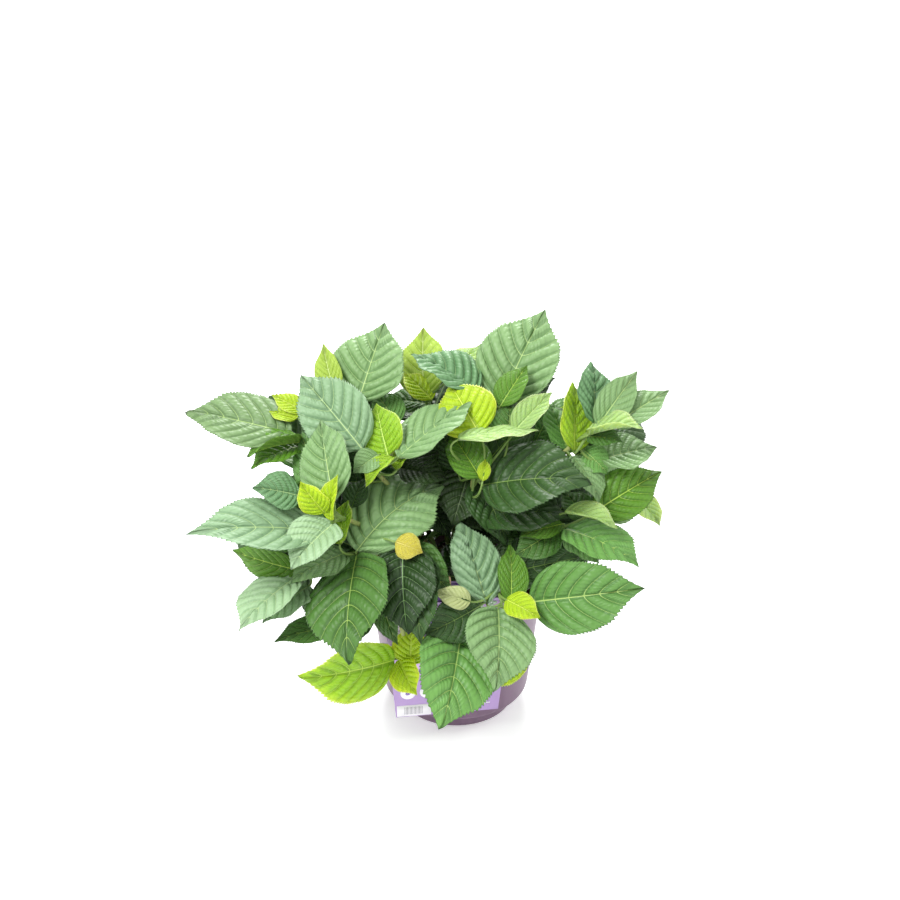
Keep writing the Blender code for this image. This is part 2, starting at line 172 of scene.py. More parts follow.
# Canes: how thick they are, how far out they stand and bend as shares of the hub's distance and rise, and
# the lean, nodes and lumps of their bark.
CANE_FOOT_RADIUS = 3.4
CANE_TIP_RADIUS = 2.2
CANE_RING_LOW = 0.32
CANE_RING_HIGH = 0.12
CANE_BEND_REACH = 0.42
CANE_BEND_RISE = 0.62
CANE_BEND_SWING = 0.6
LOWEST_HUB = 125.0
HIGHEST_HUB = 344.0
LEAN_FROM = 120.0
NODE_SPACING = 34.0
NODE_WIDTH = 2.6
NODE_SWELL = 0.24
BARK_LUMP = 3.5
BARK_RELIEF = 0.5
CANE_SUNK = 1.5
CANE_STOPS = 22.0
FINE_STEPS = 200

# Leaf blades: where the side veins leave the midrib, how many teeth lie between two veins, and the columns
# from the midrib out to the edge. Leaves that grow by rule are plainer.
VEINS = (0.15, 0.28, 0.405, 0.525, 0.64, 0.745, 0.85)
TEETH_BETWEEN = (4, 4, 4, 4, 3, 3, 2, 2)
COLUMNS = (0.0, 0.1, 0.22, 0.36, 0.5, 0.64, 0.78, 0.9, 0.97, 1.0)
PLAIN_VEINS = (0.17, 0.33, 0.48, 0.62, 0.76)
PLAIN_TEETH = (3, 3, 3, 3, 3, 3)
PLAIN_COLUMNS = (0.0, 0.13, 0.32, 0.54, 0.78, 0.96, 1.0)

# Outline: exponents of its rise and fall, and how the tip is drawn in.
OUTLINE_RISE = 0.62
OUTLINE_FALL = 0.95
TIP_START = 0.7
TIP_PINCH = 0.62

# Veins: how they sweep from the midrib to the margin, and how wide and high they are.
VEIN_FEET = 1.6
VEIN_ENDS = 0.68
VEIN_CURVE = 1.5
MIDRIB_HALF = 0.68
FULL_MIDRIB = 90.0
VEIN_HALF = 0.0025
VEIN_TAPER = 0.72
VEIN_RAISE = 0.55
VEIN_FADE = 0.7
MIDRIB_RAISE = 1.8
MIDRIB_FALL = 0.7

# Teeth: how deep, how far they lean forwards, and where along the margin they begin and fade.
TOOTH_DEPTH = 0.026
TOOTH_PEAK = 0.35
TOOTH_LEAN = 0.015
NOTCH_LEAN = 0.4
TOOTH_UNEVEN = 0.35
TEETH_START = 0.06
TEETH_RISE = 0.2
TEETH_FADE = 0.22
TEETH_EDGE = 9

# Relief: the blade swells between its veins, ripples, waves along its margin, curls down at its edge, folds
# at its midrib and arches along it. The last three lay its bands out flat for its finish.
BLADE_THICKNESS = 0.5
THIN_EDGE = 4
QUILT = 0.07
QUILT_SHAPE = 0.8
QUILT_AT_TIP = 0.5
QUILT_STARTS = 0.18
QUILT_ENDS = 1.06
QUILT_FALL = 0.35
RIPPLE = 0.22
RIPPLE_RATE = 34.0
RIPPLE_SHIFT = 2.1
WAVE_COUNT = (1.3, 2.4)
WAVE_START = 6.28
FULL_TURN = 6.283
WAVE_HEIGHT = 0.055
WAVE_EDGE = 2.2
CURL = (0.03, 0.13)
FOLD_SPREAD = (0.85, 1.15)
ARCH_STRETCH = 0.00003
ARCH_SHAPE = 1.3
ARCH_SAMPLES = 49
FLAT_STEP = 0.35
FLAT_SHIFT = 0.4
FLAT_ASIDE = 1.7

# How broad a leaf that stands out may be for its length, and how far it may roll to look so.
BLADE_MIDDLE = 0.45
SLIMMEST = 0.55
BROADEST = 0.86
LEAST_WIDTH = 0.45
MOST_WIDTH = 0.95
MOST_ROLL = 75
WIDTH_COST = 100.0
ROLL_COST = 0.25
AWAY_COST = 15.0
EDGE_ON = 0.05
UPRIGHT = 0.25

# Leaf stalks, and the green stem at the end of each cane.
STALK_FOOT_RADIUS = 1.6
STALK_TIP_RADIUS = 1.05
STALK_POINTS = 8
STALK_BOW = 0.45
STALK_SAG = 0.12
STALK_INTO_BLADE = 1.5
STALK_UNDER_BLADE = 0.6
STEM_LENGTH = 26.0
STEM_PAST_HUB = 4.0
STEM_FOOT_RADIUS = 2.4
STEM_TIP_RADIUS = 1.0


def toward(foot, tip, back, reach, across, tint, far=False, fold=13, bend=24, quilt=1.0, sway=4, node=None):
    """One leaf that stands out, with its tip towards the camera.

    The foot and the tip of its blade are pixels of the camera's view, and it is so many pixels across. The
    foot lies so many millimetres behind the hub's plane, and the blade reaches past the shortest line to
    the tip's ray by a factor.
    """
    return {
        "foot": foot,
        "tip": tip,
        "back": back,
        "reach": reach,
        "across": across,
        "far": far,
        "looks": {"tint": tint, "fold": fold, "bend": bend, "quilt": quilt, "sway": sway, "node": node},
    }


def away(foot, tip, back, reach, across, tint, bend=11, **looks):
    """One leaf that stands out, with its tip away from the camera."""
    return toward(foot, tip, back, reach, across, tint, far=True, bend=bend, **looks)


Shoot = namedtuple("Shoot", "azimuth distance height swing leaves")
Bend = namedtuple("Bend", "azimuth distance height")
Pair = namedtuple("Pair", "rise length stalk tints node")

# Shoots: the hub's bearing, distance and height, how far round the cane's foot stands, and the leaves
# that stand out. The rest of each shoot's leaves grow by rule.
# Leaves given the darkest tints stand in gaps deep in the crown, darkened as painted shade.
SHOOTS = {
    "front_right": Shoot(azimuth=-69, distance=129, height=193, swing=0, leaves=[
        toward(foot=(498, 609), tip=(495, 691), back=-4, reach=1.10, across=71, tint="soft", quilt=1.3),
        away(foot=(487, 604), tip=(458, 519), back=4, reach=1.10, across=52, tint="sage",
             fold=26, bend=12, quilt=2.8),
        toward(foot=(530, 602), tip=(644, 588), back=2, reach=1.03, across=75, tint="mid", quilt=1.2),
        away(foot=(511, 604), tip=(510, 544), back=2, reach=1.06, across=33, tint="rich", fold=20),
        toward(foot=(506, 600), tip=(540, 619), back=-6, reach=1.10, across=30, tint="bright", fold=22),
        toward(foot=(461, 632), tip=(442, 729), back=-10, reach=1.08, across=82, tint="fern"),
        toward(foot=(470, 602), tip=(434, 592), back=-8, reach=1.05, across=25, tint="cream", fold=26),
        toward(foot=(480, 606), tip=(426, 634), back=-2, reach=1.05, across=48, tint="shade"),
        toward(foot=(520, 640), tip=(484, 690), back=4, reach=1.05, across=42, tint="fresh"),
    ]),
    "front_left": Shoot(azimuth=-139, distance=133, height=238, swing=0, leaves=[
        toward(foot=(357, 555), tip=(347, 665), back=-6, reach=1.08, across=80, tint="deep", fold=9),
        away(foot=(357, 551), tip=(445, 486), back=-6, reach=1.08, across=64, tint="soft",
             fold=8, quilt=1.5, bend=40, sway=-34),
        away(foot=(339, 544), tip=(348, 499), back=-9, reach=1.06, across=25, tint="fresh", fold=26),
        toward(foot=(403, 546), tip=(408, 633), back=-13, reach=1.02, across=72, tint="dark_shade"),
        toward(foot=(396, 542), tip=(424, 553), back=-24, reach=1.03, across=28, tint="yellow",
               bend=24, fold=3, quilt=0.3, node=12),
        toward(foot=(408, 548), tip=(452, 592), back=4, reach=1.06, across=42, tint="deep", node=12),
        toward(foot=(421, 556), tip=(420, 644), back=-10, reach=1.05, across=46, tint="shade"),
        toward(foot=(380, 590), tip=(398, 646), back=-10, reach=1.05, across=24, tint="deep"),
        toward(foot=(340, 627), tip=(273, 641), back=-22, reach=1.05, across=28, tint="deep"),
        toward(foot=(346, 553), tip=(290, 582), back=4, reach=1.05, across=38, tint="soft"),
    ]),
    "low_left": Shoot(azimuth=-112, distance=127, height=128, swing=0, leaves=[
        toward(foot=(394, 660), tip=(299, 678), back=-2, reach=1.06, across=58, tint="fresh"),
        toward(foot=(399, 660), tip=(416, 695), back=-3, reach=1.10, across=32, tint="bright"),
        toward(foot=(411, 664), tip=(411, 624), back=-8, reach=1.06, across=38, tint="bright"),
    ]),
    "left_front": Shoot(azimuth=-143, distance=159, height=287, swing=-15, leaves=[
        toward(foot=(318, 531), tip=(186, 534), back=0, reach=1.04, across=54, tint="sage"),
        away(foot=(334, 503), tip=(321, 418), back=2, reach=1.10, across=54, tint="soft", quilt=1.5),
        toward(foot=(333, 524), tip=(292, 568), back=-6, reach=1.10, across=48, tint="sheen_grey", fold=26),
        toward(foot=(324, 512), tip=(300, 481), back=-6, reach=1.06, across=28, tint="bright", fold=20),
        toward(foot=(331, 520), tip=(338, 474), back=-9, reach=1.06, across=19, tint="bright", fold=26),
        toward(foot=(300, 496), tip=(253, 487), back=16, reach=1.05, across=38, tint="teal"),
        away(foot=(326, 500), tip=(300, 431), back=26, reach=1.06, across=40, tint="mid"),
    ]),
    "far_left": Shoot(azimuth=-176, distance=161, height=325, swing=0, leaves=[
        away(foot=(292, 434), tip=(185, 410), back=0, reach=1.04, across=52, tint="olive"),
        toward(foot=(302, 441), tip=(246, 456), back=-9, reach=1.05, across=12, tint="rich", fold=34),
        toward(foot=(300, 446), tip=(250, 468), back=-2, reach=1.05, across=28, tint="rich"),
        away(foot=(306, 412), tip=(271, 395), back=20, reach=1.05, across=20, tint="bright"),
        away(foot=(298, 418), tip=(268, 411), back=12, reach=1.05, across=17, tint="bright"),
    ]),
    "lower_left": Shoot(azimuth=-147, distance=184, height=223, swing=-60, leaves=[
        toward(foot=(295, 578), tip=(238, 632), back=0, reach=1.06, across=42, tint="sheen_grey"),
        toward(foot=(308, 586), tip=(262, 624), back=6, reach=1.06, across=38, tint="sheen_grey"),
        away(foot=(297, 570), tip=(231, 551), back=2, reach=1.05, across=32, tint="rich"),
        away(foot=(303, 576), tip=(309, 555), back=-2, reach=1.05, across=11, tint="bright", fold=30),
    ]),
    "upper_left": Shoot(azimuth=-157, distance=101, height=316, swing=0, leaves=[
        away(foot=(362, 449), tip=(298, 374), back=0, reach=1.10, across=70, tint="sage", quilt=1.6),
        away(foot=(398, 457), tip=(475, 399), back=-8, reach=1.03, across=40, tint="soft",
             fold=16, quilt=1.3),
        away(foot=(388, 456), tip=(376, 403), back=-3, reach=1.06, across=44, tint="fresh"),
        toward(foot=(378, 455), tip=(353, 474), back=-6, reach=1.06, across=27, tint="soft", fold=22),
        away(foot=(396, 470), tip=(414, 446), back=-8, reach=1.05, across=16, tint="lime", fold=30),
        toward(foot=(394, 458), tip=(366, 487), back=-11, reach=1.06, across=18, tint="lime", fold=30),
        toward(foot=(400, 468), tip=(448, 480), back=22, reach=1.05, across=34, tint="deepest_shade", node=12),
        away(foot=(410, 474), tip=(438, 440), back=16, reach=1.05, across=34, tint="deepest_shade", node=12),
        away(foot=(352, 508), tip=(364, 478), back=-26, reach=1.05, across=24, tint="shade", node=12),
    ]),
    "back_left": Shoot(azimuth=165, distance=100, height=344, swing=0, leaves=[
        away(foot=(358, 404), tip=(386, 323), back=0, reach=1.08, across=74, tint="soft", quilt=1.4),
        away(foot=(336, 396), tip=(323, 343), back=4, reach=1.05, across=28, tint="tender"),
        away(foot=(398, 424), tip=(374, 390), back=-8, reach=1.05, across=34, tint="mid"),
    ]),
    "centre": Shoot(azimuth=-59, distance=41, height=311, swing=0, leaves=[
        toward(foot=(484, 485), tip=(590, 480), back=-6, reach=1.04, across=74, tint="shade", quilt=1.2),
        toward(foot=(486, 514), tip=(567, 516), back=0, reach=1.04, across=44, tint="shade"),
        away(foot=(481, 478), tip=(451, 432), back=-14, reach=1.06, across=42, tint="rich", fold=12),
        away(foot=(458, 439), tip=(540, 430), back=-12, reach=1.05, across=14, tint="pale", fold=8),
        away(foot=(458, 470), tip=(438, 424), back=22, reach=1.05, across=42, tint="shade", node=12),
        toward(foot=(452, 498), tip=(482, 530), back=28, reach=1.05, across=36, tint="deepest_shade"),
        toward(foot=(486, 518), tip=(534, 538), back=14, reach=1.05, across=36, tint="shade"),
        toward(foot=(426, 500), tip=(450, 538), back=30, reach=1.05, across=36, tint="dark_shade", node=12),
        toward(foot=(464, 520), tip=(500, 544), back=34, reach=1.05, across=34, tint="dark_shade", node=12),
        away(foot=(514, 432), tip=(552, 391), back=16, reach=1.06, across=28, tint="pale", fold=30),
        away(foot=(480, 434), tip=(450, 384), back=10, reach=1.10, across=66, tint="bright",
             bend=36, fold=6),
        toward(foot=(470, 468), tip=(452, 526), back=30, reach=1.02, across=56, tint="deepest_shade"),
        toward(foot=(478, 478), tip=(508, 545), back=24, reach=1.02, across=48, tint="shade"),
        away(foot=(483, 481), tip=(486, 459), back=-16, reach=1.06, across=14, tint="bright", fold=26),
        away(foot=(508, 442), tip=(510, 402), back=14, reach=1.05, across=40, tint="deep"),
    ]),
    "top_right": Shoot(azimuth=26, distance=68, height=342, swing=0, leaves=[
        away(foot=(500, 404), tip=(546, 309), back=0, reach=1.08, across=82, tint="soft", quilt=1.6),
        away(foot=(477, 393), tip=(410, 354), back=-4, reach=1.05, across=36, tint="teal",
             fold=22, quilt=1.8),
        away(foot=(500, 407), tip=(528, 364), back=-26, reach=1.06, across=30, tint="rich", fold=20),
        away(foot=(534, 446), tip=(554, 403), back=-10, reach=1.05, across=40, tint="fern"),
    ]),
    "right": Shoot(azimuth=-8, distance=136, height=340, swing=0, leaves=[
        away(foot=(574, 451), tip=(573, 381), back=-6, reach=1.02, across=33, tint="lime", fold=12),
        away(foot=(594, 425), tip=(591, 360), back=4, reach=1.08, across=38, tint="teal", quilt=1.5),
        away(foot=(598, 427), tip=(638, 371), back=-2, reach=1.08, across=37, tint="soft"),
        away(foot=(612, 426), tip=(670, 390), back=6, reach=1.06, across=34, tint="soft"),
        toward(foot=(588, 435), tip=(643, 427), back=-8, reach=1.05, across=14, tint="pale", fold=34),
        away(foot=(600, 460), tip=(657, 447), back=-6, reach=1.05, across=38, tint="soft"),
        toward(foot=(588, 436), tip=(623, 441), back=-4, reach=1.05, across=22, tint="deep"),
        away(foot=(568, 452), tip=(548, 402), back=10, reach=1.05, across=34, tint="fern", node=12),
        toward(foot=(584, 450), tip=(608, 474), back=6, reach=1.05, across=30, tint="fern"),
        toward(foot=(572, 456), tip=(600, 501), back=-4, reach=1.05, across=27, tint="soft"),
    ]),
    "right_low": Shoot(azimuth=-29, distance=124, height=251, swing=0, leaves=[
        away(foot=(594, 512), tip=(662, 470), back=10, reach=1.06, across=52, tint="rich", quilt=1.3),
        toward(foot=(565, 529), tip=(639, 565), back=-2, reach=1.05, across=40, tint="fern"),
        toward(foot=(565, 512), tip=(618, 528), back=-4, reach=1.05, across=20, tint="pale", fold=34),
        away(foot=(588, 520), tip=(562, 490), back=16, reach=1.05, across=30, tint="deep", node=12),
        toward(foot=(566, 536), tip=(600, 564), back=6, reach=1.05, across=28, tint="soft"),
        toward(foot=(560, 528), tip=(514, 556), back=6, reach=1.03, across=40, tint="deep"),
        toward(foot=(562, 524), tip=(520, 536), back=0, reach=1.03, across=22, tint="rich"),
    ]),
    "back": Shoot(azimuth=111, distance=96, height=331, swing=0, leaves=[
        away(foot=(424, 398), tip=(423, 326), back=0, reach=1.06, across=50, tint="tender"),
        away(foot=(447, 379), tip=(483, 342), back=4, reach=1.06, across=27, tint="pale"),
        away(foot=(432, 400), tip=(404, 372), back=-10, reach=1.05, across=26, tint="bright"),
        away(foot=(428, 404), tip=(384, 399), back=4, reach=1.05, across=26, tint="deep"),
    ]),
    "back_right": Shoot(azimuth=38, distance=140, height=278, swing=0, leaves=[]),
    "back_top": Shoot(azimuth=76, distance=150, height=282, swing=0, leaves=[]),
    "back_low": Shoot(azimuth=86, distance=128, height=204, swing=15, leaves=[]),
    "back_left_low": Shoot(azimuth=136, distance=150, height=236, swing=0, leaves=[]),
    "left_rear": Shoot(azimuth=160, distance=160, height=268, swing=0, leaves=[]),
    "right_rear": Shoot(azimuth=10, distance=146, height=232, swing=0, leaves=[
        toward(foot=(628, 494), tip=(661, 527), back=0, reach=1.05, across=25, tint="pale"),
    ]),
}

# Two shoots stand in front of the card, so their canes are led over its arch.
LED_OVER = {
    "low_left": Bend(azimuth=-125, distance=152, height=318),
    "front_right": Bend(azimuth=-68, distance=86, height=238),
}

# The pairs of leaves that grow by rule on each shoot, from the top one down.
PAIRS = (
    Pair(rise=56, length=34, stalk=4, tints=("bright", "lime", "lime"), node=0.5),
    Pair(rise=36, length=60, stalk=8, tints=("lime", "fresh", "mid"), node=1.5),
    Pair(rise=14, length=84, stalk=14, tints=("mid", "soft", "rich"), node=2.5),
    Pair(rise=-8, length=92, stalk=20, tints=("mid", "soft", "teal"), node=3.5),
    Pair(rise=-28, length=92, stalk=26, tints=("deep", "rich", "mid"), node=4.5),
    Pair(rise=-10, length=80, stalk=26, tints=("shade", "deep", "mid"), node=7.0),
    Pair(rise=-30, length=84, stalk=30, tints=("shade", "deep", "deep"), node=10.0),
    Pair(rise=10, length=76, stalk=24, tints=("shade", "deep", "deep"), node=13.0),
    Pair(rise=-16, length=70, stalk=28, tints=("shade", "shade", "deep"), node=17.0),
)
# Shoots with at least three leaves that stand out take these dark tints for all their pairs: painted shade
# between their leaves.
BETWEEN_TINTS = ("shade", "shade", "deep")
OPEN_SHOOT = 3
PAIR_STEP = 7.0
FIRST_NODE = 1.0
STANDING_STEP = 0.5

# How far each of those leaves may differ from its pair's turn, rise, length, width and the rest.
TURN_SPREAD = 40
RISE_SPREAD = 12
LEAN_SHARE = 0.25
LENGTH_SPREAD = (0.78, 1.12)
WIDTH_SPREAD = (0.62, 0.78)
ROLL_SPREAD = 16
FOLD_RANGE = (6, 22)
BEND_RANGE = (12, 34)
QUILT_RANGE = (0.8, 1.5)
FILL_SWAY = 9

# How the best of several tries is chosen: it fills open cells and doesn't crowd or hide other leaves.
TRIES = 16
NEAR = 6.0
CROWDED = 9
CROWD_WEIGHT = 3.0
LEAST_GAIN = -14.0
FRONT_WEIGHT = 2.5
HIDDEN_SHARE = 0.015
HIDDEN_SLACK = 1.0
CELL = 4.0
SHADE_CELL = 7.0

# Where those leaves may not grow: the pot, the space round the card, and beyond the crown's box.
POT_CLEARANCE = 6.0
RIM_CLEARANCE = 4.0
LOWEST_LEAF = 40.0
CARD_MIDDLE = -8.0
CARD_REACH = 74.0
CARD_BEHIND = -84.0
CARD_BEFORE = -126.0
CARD_ABOVE = 218.0
BOX_SLACK = 4.0

# Outline of the crown in pixels of the camera's view.
CROWN_OUTLINE = (
    (187, 408), (240, 400), (268, 392), (270, 386), (296, 386), (297, 373), (318, 370), (312, 352),
    (322, 342), (345, 352), (386, 323), (396, 345), (402, 352), (423, 324), (446, 345), (482, 341),
    (500, 342), (546, 309), (555, 350), (557, 388), (570, 384), (575, 380), (591, 358), (602, 382),
    (639, 369), (642, 388), (672, 389), (650, 425), (660, 447), (652, 462), (665, 469), (655, 495),
    (662, 528), (645, 522), (628, 535), (641, 566), (606, 560), (648, 588), (620, 628), (560, 640),
    (536, 642), (530, 690), (495, 694), (480, 702), (442, 731), (413, 700), (385, 692), (345, 697),
    (297, 680), (326, 655), (300, 653), (268, 641), (300, 622), (262, 627), (235, 635), (248, 582),
    (228, 550), (246, 546), (184, 535), (210, 512), (255, 503), (250, 470), (232, 463), (240, 448),
)

# Leaf tints: blade, blade beside the veins, veins, underside. The blade beside the veins is darker, as
# painted shade in the valleys there.
TINTS = {
    # Darkened as painted shade for leaves deep in the crown.
    "deepest_shade": ("#294019", "#233716", "#566E3A", "#3E5830"),
    "shade": ("#335224", "#2D4A20", "#708C46", "#4E6E3A"),
    "deep": ("#48702E", "#3F6428", "#96B25A", "#698E48"),
    "teal": ("#628A5C", "#557B51", "#A4C080", "#80A272"),
    "mid": ("#5B8840", "#4F7A38", "#A8C46C", "#7AA456"),
    "fern": ("#67984A", "#5B8A42", "#AECC70", "#80AC5A"),
    "rich": ("#558222", "#4A741E", "#A8C850", "#769E42"),
    # This grey-green is partly the leaf's own colour and partly painted sheen.
    "soft": ("#7B9D66", "#6C8E59", "#A9C37C", "#8EAE76"),
    "olive": ("#6E8B5A", "#607C4E", "#9FBB72", "#84A270"),
    # This grey-green is partly the leaf's own colour and partly painted sheen.
    "sage": ("#7F9F77", "#70906A", "#A6C082", "#92B084"),
    # This pale grey-green is painted sheen.
    "sheen_grey": ("#98B68C", "#89A77E", "#BACF96", "#9EBA90"),
    # Darkened as painted shade for leaves deep in the crown.
    "dark_shade": ("#28421C", "#203718", "#6F9455", "#5C7850"),
    "cream": ("#B4BE84", "#A8B474", "#CCD4A0", "#AEB882"),
    "tender": ("#9CB846", "#90AE3A", "#C4D488", "#98B060"),
    "pale": ("#96B66C", "#88A860", "#C2D88E", "#9EBC7A"),
    "fresh": ("#84AE20", "#769E1C", "#C0DC5C", "#8EB440"),
    "lime": ("#8AAE20", "#7CA01C", "#C6DC58", "#98BA3C"),
    "bright": ("#A4C21E", "#95B31A", "#D6E460", "#AAC640"),
    "yellow": ("#B6AC3E", "#ABA038", "#CCC464", "#B8AE50"),
}
YOUNG = ("pale", "fresh", "lime", "bright", "yellow")

# How much light young, thin leaves let through.
YOUNG_GLOW = 0.55

# Studio: a white table that glows a little, a white surround, and lamps by place, breadth and power.
TABLE_SIDE = 12.0
TABLE_GLOW = 0.36
SURROUND = 0.74
LAMPS = {
    "lamp_above_left": ((-1.0, -0.9, 1.9), 1.0, 46.0),
    "lamp_above_right": ((1.5, -0.4, 1.7), 1.2, 10.0),
    "lamp_behind": ((0.1, 1.7, 1.6), 1.1, 47.0),
}
LAMP_AIM = (0.0, 0.0, 0.22)


def linear(hex_text):
    """A colour written as sRGB hex, turned to linear light."""
    channels = [int(hex_text[place:place + 2], 16) / 255.0 for place in (1, 3, 5)]
    values = [c / 12.92 if c <= 0.04045 else ((c + 0.055) / 1.055) ** 2.4 for c in channels]
    return (values[0], values[1], values[2], 1.0)


def add_node(tree, kind, settings=None, links=None, stops=()):
    """Add one node, set its values, properties and colour stops, and link its inputs."""
    node = tree.nodes.new(kind)
    for key, value in (settings or {}).items():
        if isinstance(key, int) or key in node.inputs:
            node.inputs[key].default_value = value
        else:
            setattr(node, key, value)
    for key, source in (links or {}).items():
        tree.links.new(source, node.inputs[key])
    for number, (place, colour) in enumerate(stops):
        node.color_ramp.elements[number].position = place
        node.color_ramp.elements[number].color = linear(colour)
    return node


def new_material(name, roughness, colour=None, **settings):
    """A Principled material and its tree, its shader and the object coordinates."""
    material = bpy.data.materials.new(name)
    material.use_nodes = True
    tree = material.node_tree
    shader = tree.nodes["Principled BSDF"]
    shader.inputs["Roughness"].default_value = roughness
    if colour:
        shader.inputs["Base Color"].default_value = linear(colour)
        material.diffuse_color = linear(colour)
    for key, value in settings.items():
        shader.inputs[key.replace("_", " ")].default_value = value
    place = add_node(tree, "ShaderNodeTexCoord").outputs["Object"]
    return material, tree, shader, place


def relief(tree, shader, place, size_mm, height_mm, detail=2.0, **more):
    """Fine relief from noise with grains of a real size; the noise serves for colour too."""
    settings = {"Scale": 1.0 / (size_mm * MM), "Detail": detail, **more}
    grain = add_node(tree, "ShaderNodeTexNoise", settings, {"Vector": place})
    bump = add_node(tree, "ShaderNodeBump", {"Distance": height_mm * MM}, {"Height": grain.outputs["Fac"]})
    tree.links.new(bump.outputs["Normal"], shader.inputs["Normal"])
    return grain.outputs["Fac"]


def living_blade(name, colour, roughness, glow):
    # Leaf blade: a waxy cuticle puckered between a net of fine veins, which gives a soft broken sheen.
    material, tree, shader, place = new_material(
        name,
        roughness,
        colour,
        IOR=1.4,
        Subsurface_Weight=glow,
        Subsurface_Radius=(1.0, 1.0, 0.35),
        Subsurface_Scale=1.6 * MM,
    )
    layout = add_node(tree, "ShaderNodeUVMap", {"uv_map": "blade"})
    pucker = add_node(
        tree,
        "ShaderNodeTexWave",
        {"bands_direction": "X", "Scale": 2.6, "Distortion": 4.0, "Detail": 1.0, "Detail Scale": 1.2},
        {"Vector": layout.outputs["UV"]},
    )
    net = add_node(
        tree,
        "ShaderNodeTexVoronoi",
        {"feature": "SMOOTH_F1", "Scale": 1.0 / (3.4 * MM), "Smoothness": 0.5},
        {"Vector": place},
    )
    both = add_node(
        tree,
        "ShaderNodeMath",
        {"operation": "MULTIPLY_ADD", 1: -1.0},
        {0: net.outputs["Distance"], 2: pucker.outputs["Fac"]},
    )
    bump = add_node(tree, "ShaderNodeBump", {"Distance": 0.34 * MM}, {"Height": both.outputs["Value"]})
    tree.links.new(bump.outputs["Normal"], shader.inputs["Normal"])
    return material


def living_vein(name, colour):
    # Leaf vein: firm pale tissue, a little glossier than the blade.
    material, tree, shader, place = new_material(name, 0.42, colour, IOR=1.42)
    relief(tree, shader, place, 1.2, 0.08)
    return material


def leaf_materials():
    """Finishes for each tint: blade, blade by the veins darkened as painted valley shade, vein, underside,
    underside vein and margin, which on young leaves takes the pale vein finish as a painted edge highlight.
    """
    finishes = {}
    for tint, (blade, beside_vein_shade, vein, under) in TINTS.items():
        glow = YOUNG_GLOW if tint in YOUNG else 0.0
        upper = living_blade("leaf_" + tint, blade, 0.46, glow)
        ribs = living_vein("vein_" + tint, vein)
        finishes[tint] = (
            upper,
            # The darker blade by the veins is painted shade in the valleys.
            living_blade("leaf_" + tint + "_shaded_by_veins", beside_vein_shade, 0.44, glow),
            ribs,
            living_blade("leaf_" + tint + "_underside", under, 0.62, glow),
            living_vein("vein_" + tint + "_underside", vein),
            # Young leaves' margins take the pale vein finish as a painted edge highlight.
            ribs if tint in YOUNG else upper,
        )
    return finishes


def stalk_material():
    # Leaf stalk: smooth juicy tissue, yellow-green, with a soft gloss.
    material, tree, shader, place = new_material("leaf_stalk", 0.42, "#76924A", IOR=1.42)
    relief(tree, shader, place, 1.5, 0.08)
    return material


def bark_material():
    # Young hydrangea bark: green skin freckled with tan corky spots, and fine long ridges.
    material, tree, shader, place = new_material("green_bark", 0.55)
    flow = add_node(tree, "ShaderNodeMapping", {"Scale": (1.0, 1.0, 0.35)}, {"Vector": place})
    freckle = relief(tree, shader, flow.outputs["Vector"], 1.8, 0.15, 3.0)
    patch = add_node(tree, "ShaderNodeTexNoise", {"Scale": 1.0 / (22.0 * MM)}, {"Vector": place})
    skin = add_node(
        tree, "ShaderNodeValToRGB", {}, {"Fac": patch.outputs["Fac"]}, ((0.35, "#7E9A4C"), (0.68, "#A9A46A"))
    )
    spots = add_node(tree, "ShaderNodeMapRange", {"From Min": 0.6, "From Max": 0.68}, {"Value": freckle})
    mixed = add_node(
        tree,
        "ShaderNodeMix",
        {"data_type": "RGBA", 7: linear("#6E5A3C")},
        {0: spots.outputs["Result"], 6: skin.outputs["Color"]},
    )
    tree.links.new(mixed.outputs[2], shader.inputs["Base Color"])
    return material


def pot_material():
    # Injection-moulded polypropylene: even plum colour, satin, with faint flow streaks down the wall.
    material, tree, shader, place = new_material("moulded_polypropylene_plum", 0.4, IOR=1.49)
    flow = add_node(tree, "ShaderNodeMapping", {"Scale": (1.0, 1.0, 0.08)}, {"Vector": place})
    streak = relief(tree, shader, flow.outputs["Vector"], 9.0, 0.05, 4.0)
    tone = add_node(tree, "ShaderNodeValToRGB", {}, {"Fac": streak}, ((0.3, "#6A4F67"), (0.7, "#745A71")))
    tree.links.new(tone.outputs["Color"], shader.inputs["Base Color"])
    rough = add_node(tree, "ShaderNodeMapRange", {"To Min": 0.34, "To Max": 0.48}, {"Value": streak})
    tree.links.new(rough.outputs["Result"], shader.inputs["Roughness"])
    return material


def compost_material(name, dark, light, size_mm):
    # Peat and bark compost: matt, dark and crumbly, redder where fibres are dry.
    material, tree, shader, place = new_material(name, 0.95)
    crumbs = relief(tree, shader, place, size_mm, 1.0, 6.0, Roughness=0.65)
    tone = add_node(tree, "ShaderNodeValToRGB", {}, {"Fac": crumbs}, ((0.36, dark), (0.66, light)))
    tree.links.new(tone.outputs["Color"], shader.inputs["Base Color"])
    return material


def plain_material(name, colour, roughness, size_mm=1.0, height_mm=0.02, **settings):
    # A printed or moulded surface of one ink or plastic, with the faint grain of its sheet or mould.
    material, tree, shader, place = new_material(name, roughness, colour, **settings)
    relief(tree, shader, place, size_mm, height_mm)
    return material


def bearing(azimuth, rise=0.0):
    """Unit vector at a bearing counted from +X towards +Y, raised above the level."""
    a = math.radians(azimuth)
    r = math.radians(rise)
    return np.array((math.cos(a) * math.cos(r), math.sin(a) * math.cos(r), math.sin(r)))


def unit(vector):
    """The same direction with a length of one."""
    return vector / max(float(np.linalg.norm(vector)), 1e-9)


def hub_of(name):
    """Where a cane ends and its leaves gather."""
    shoot = SHOOTS[name]
    place = bearing(shoot.azimuth) * shoot.distance
    place[2] = shoot.height
    return place


def shoot_axis(name):
    """The way a shoot leans at its tip: out from the middle of the pot and up."""
    return unit(hub_of(name) - np.array((0.0, 0.0, LEAN_FROM)))


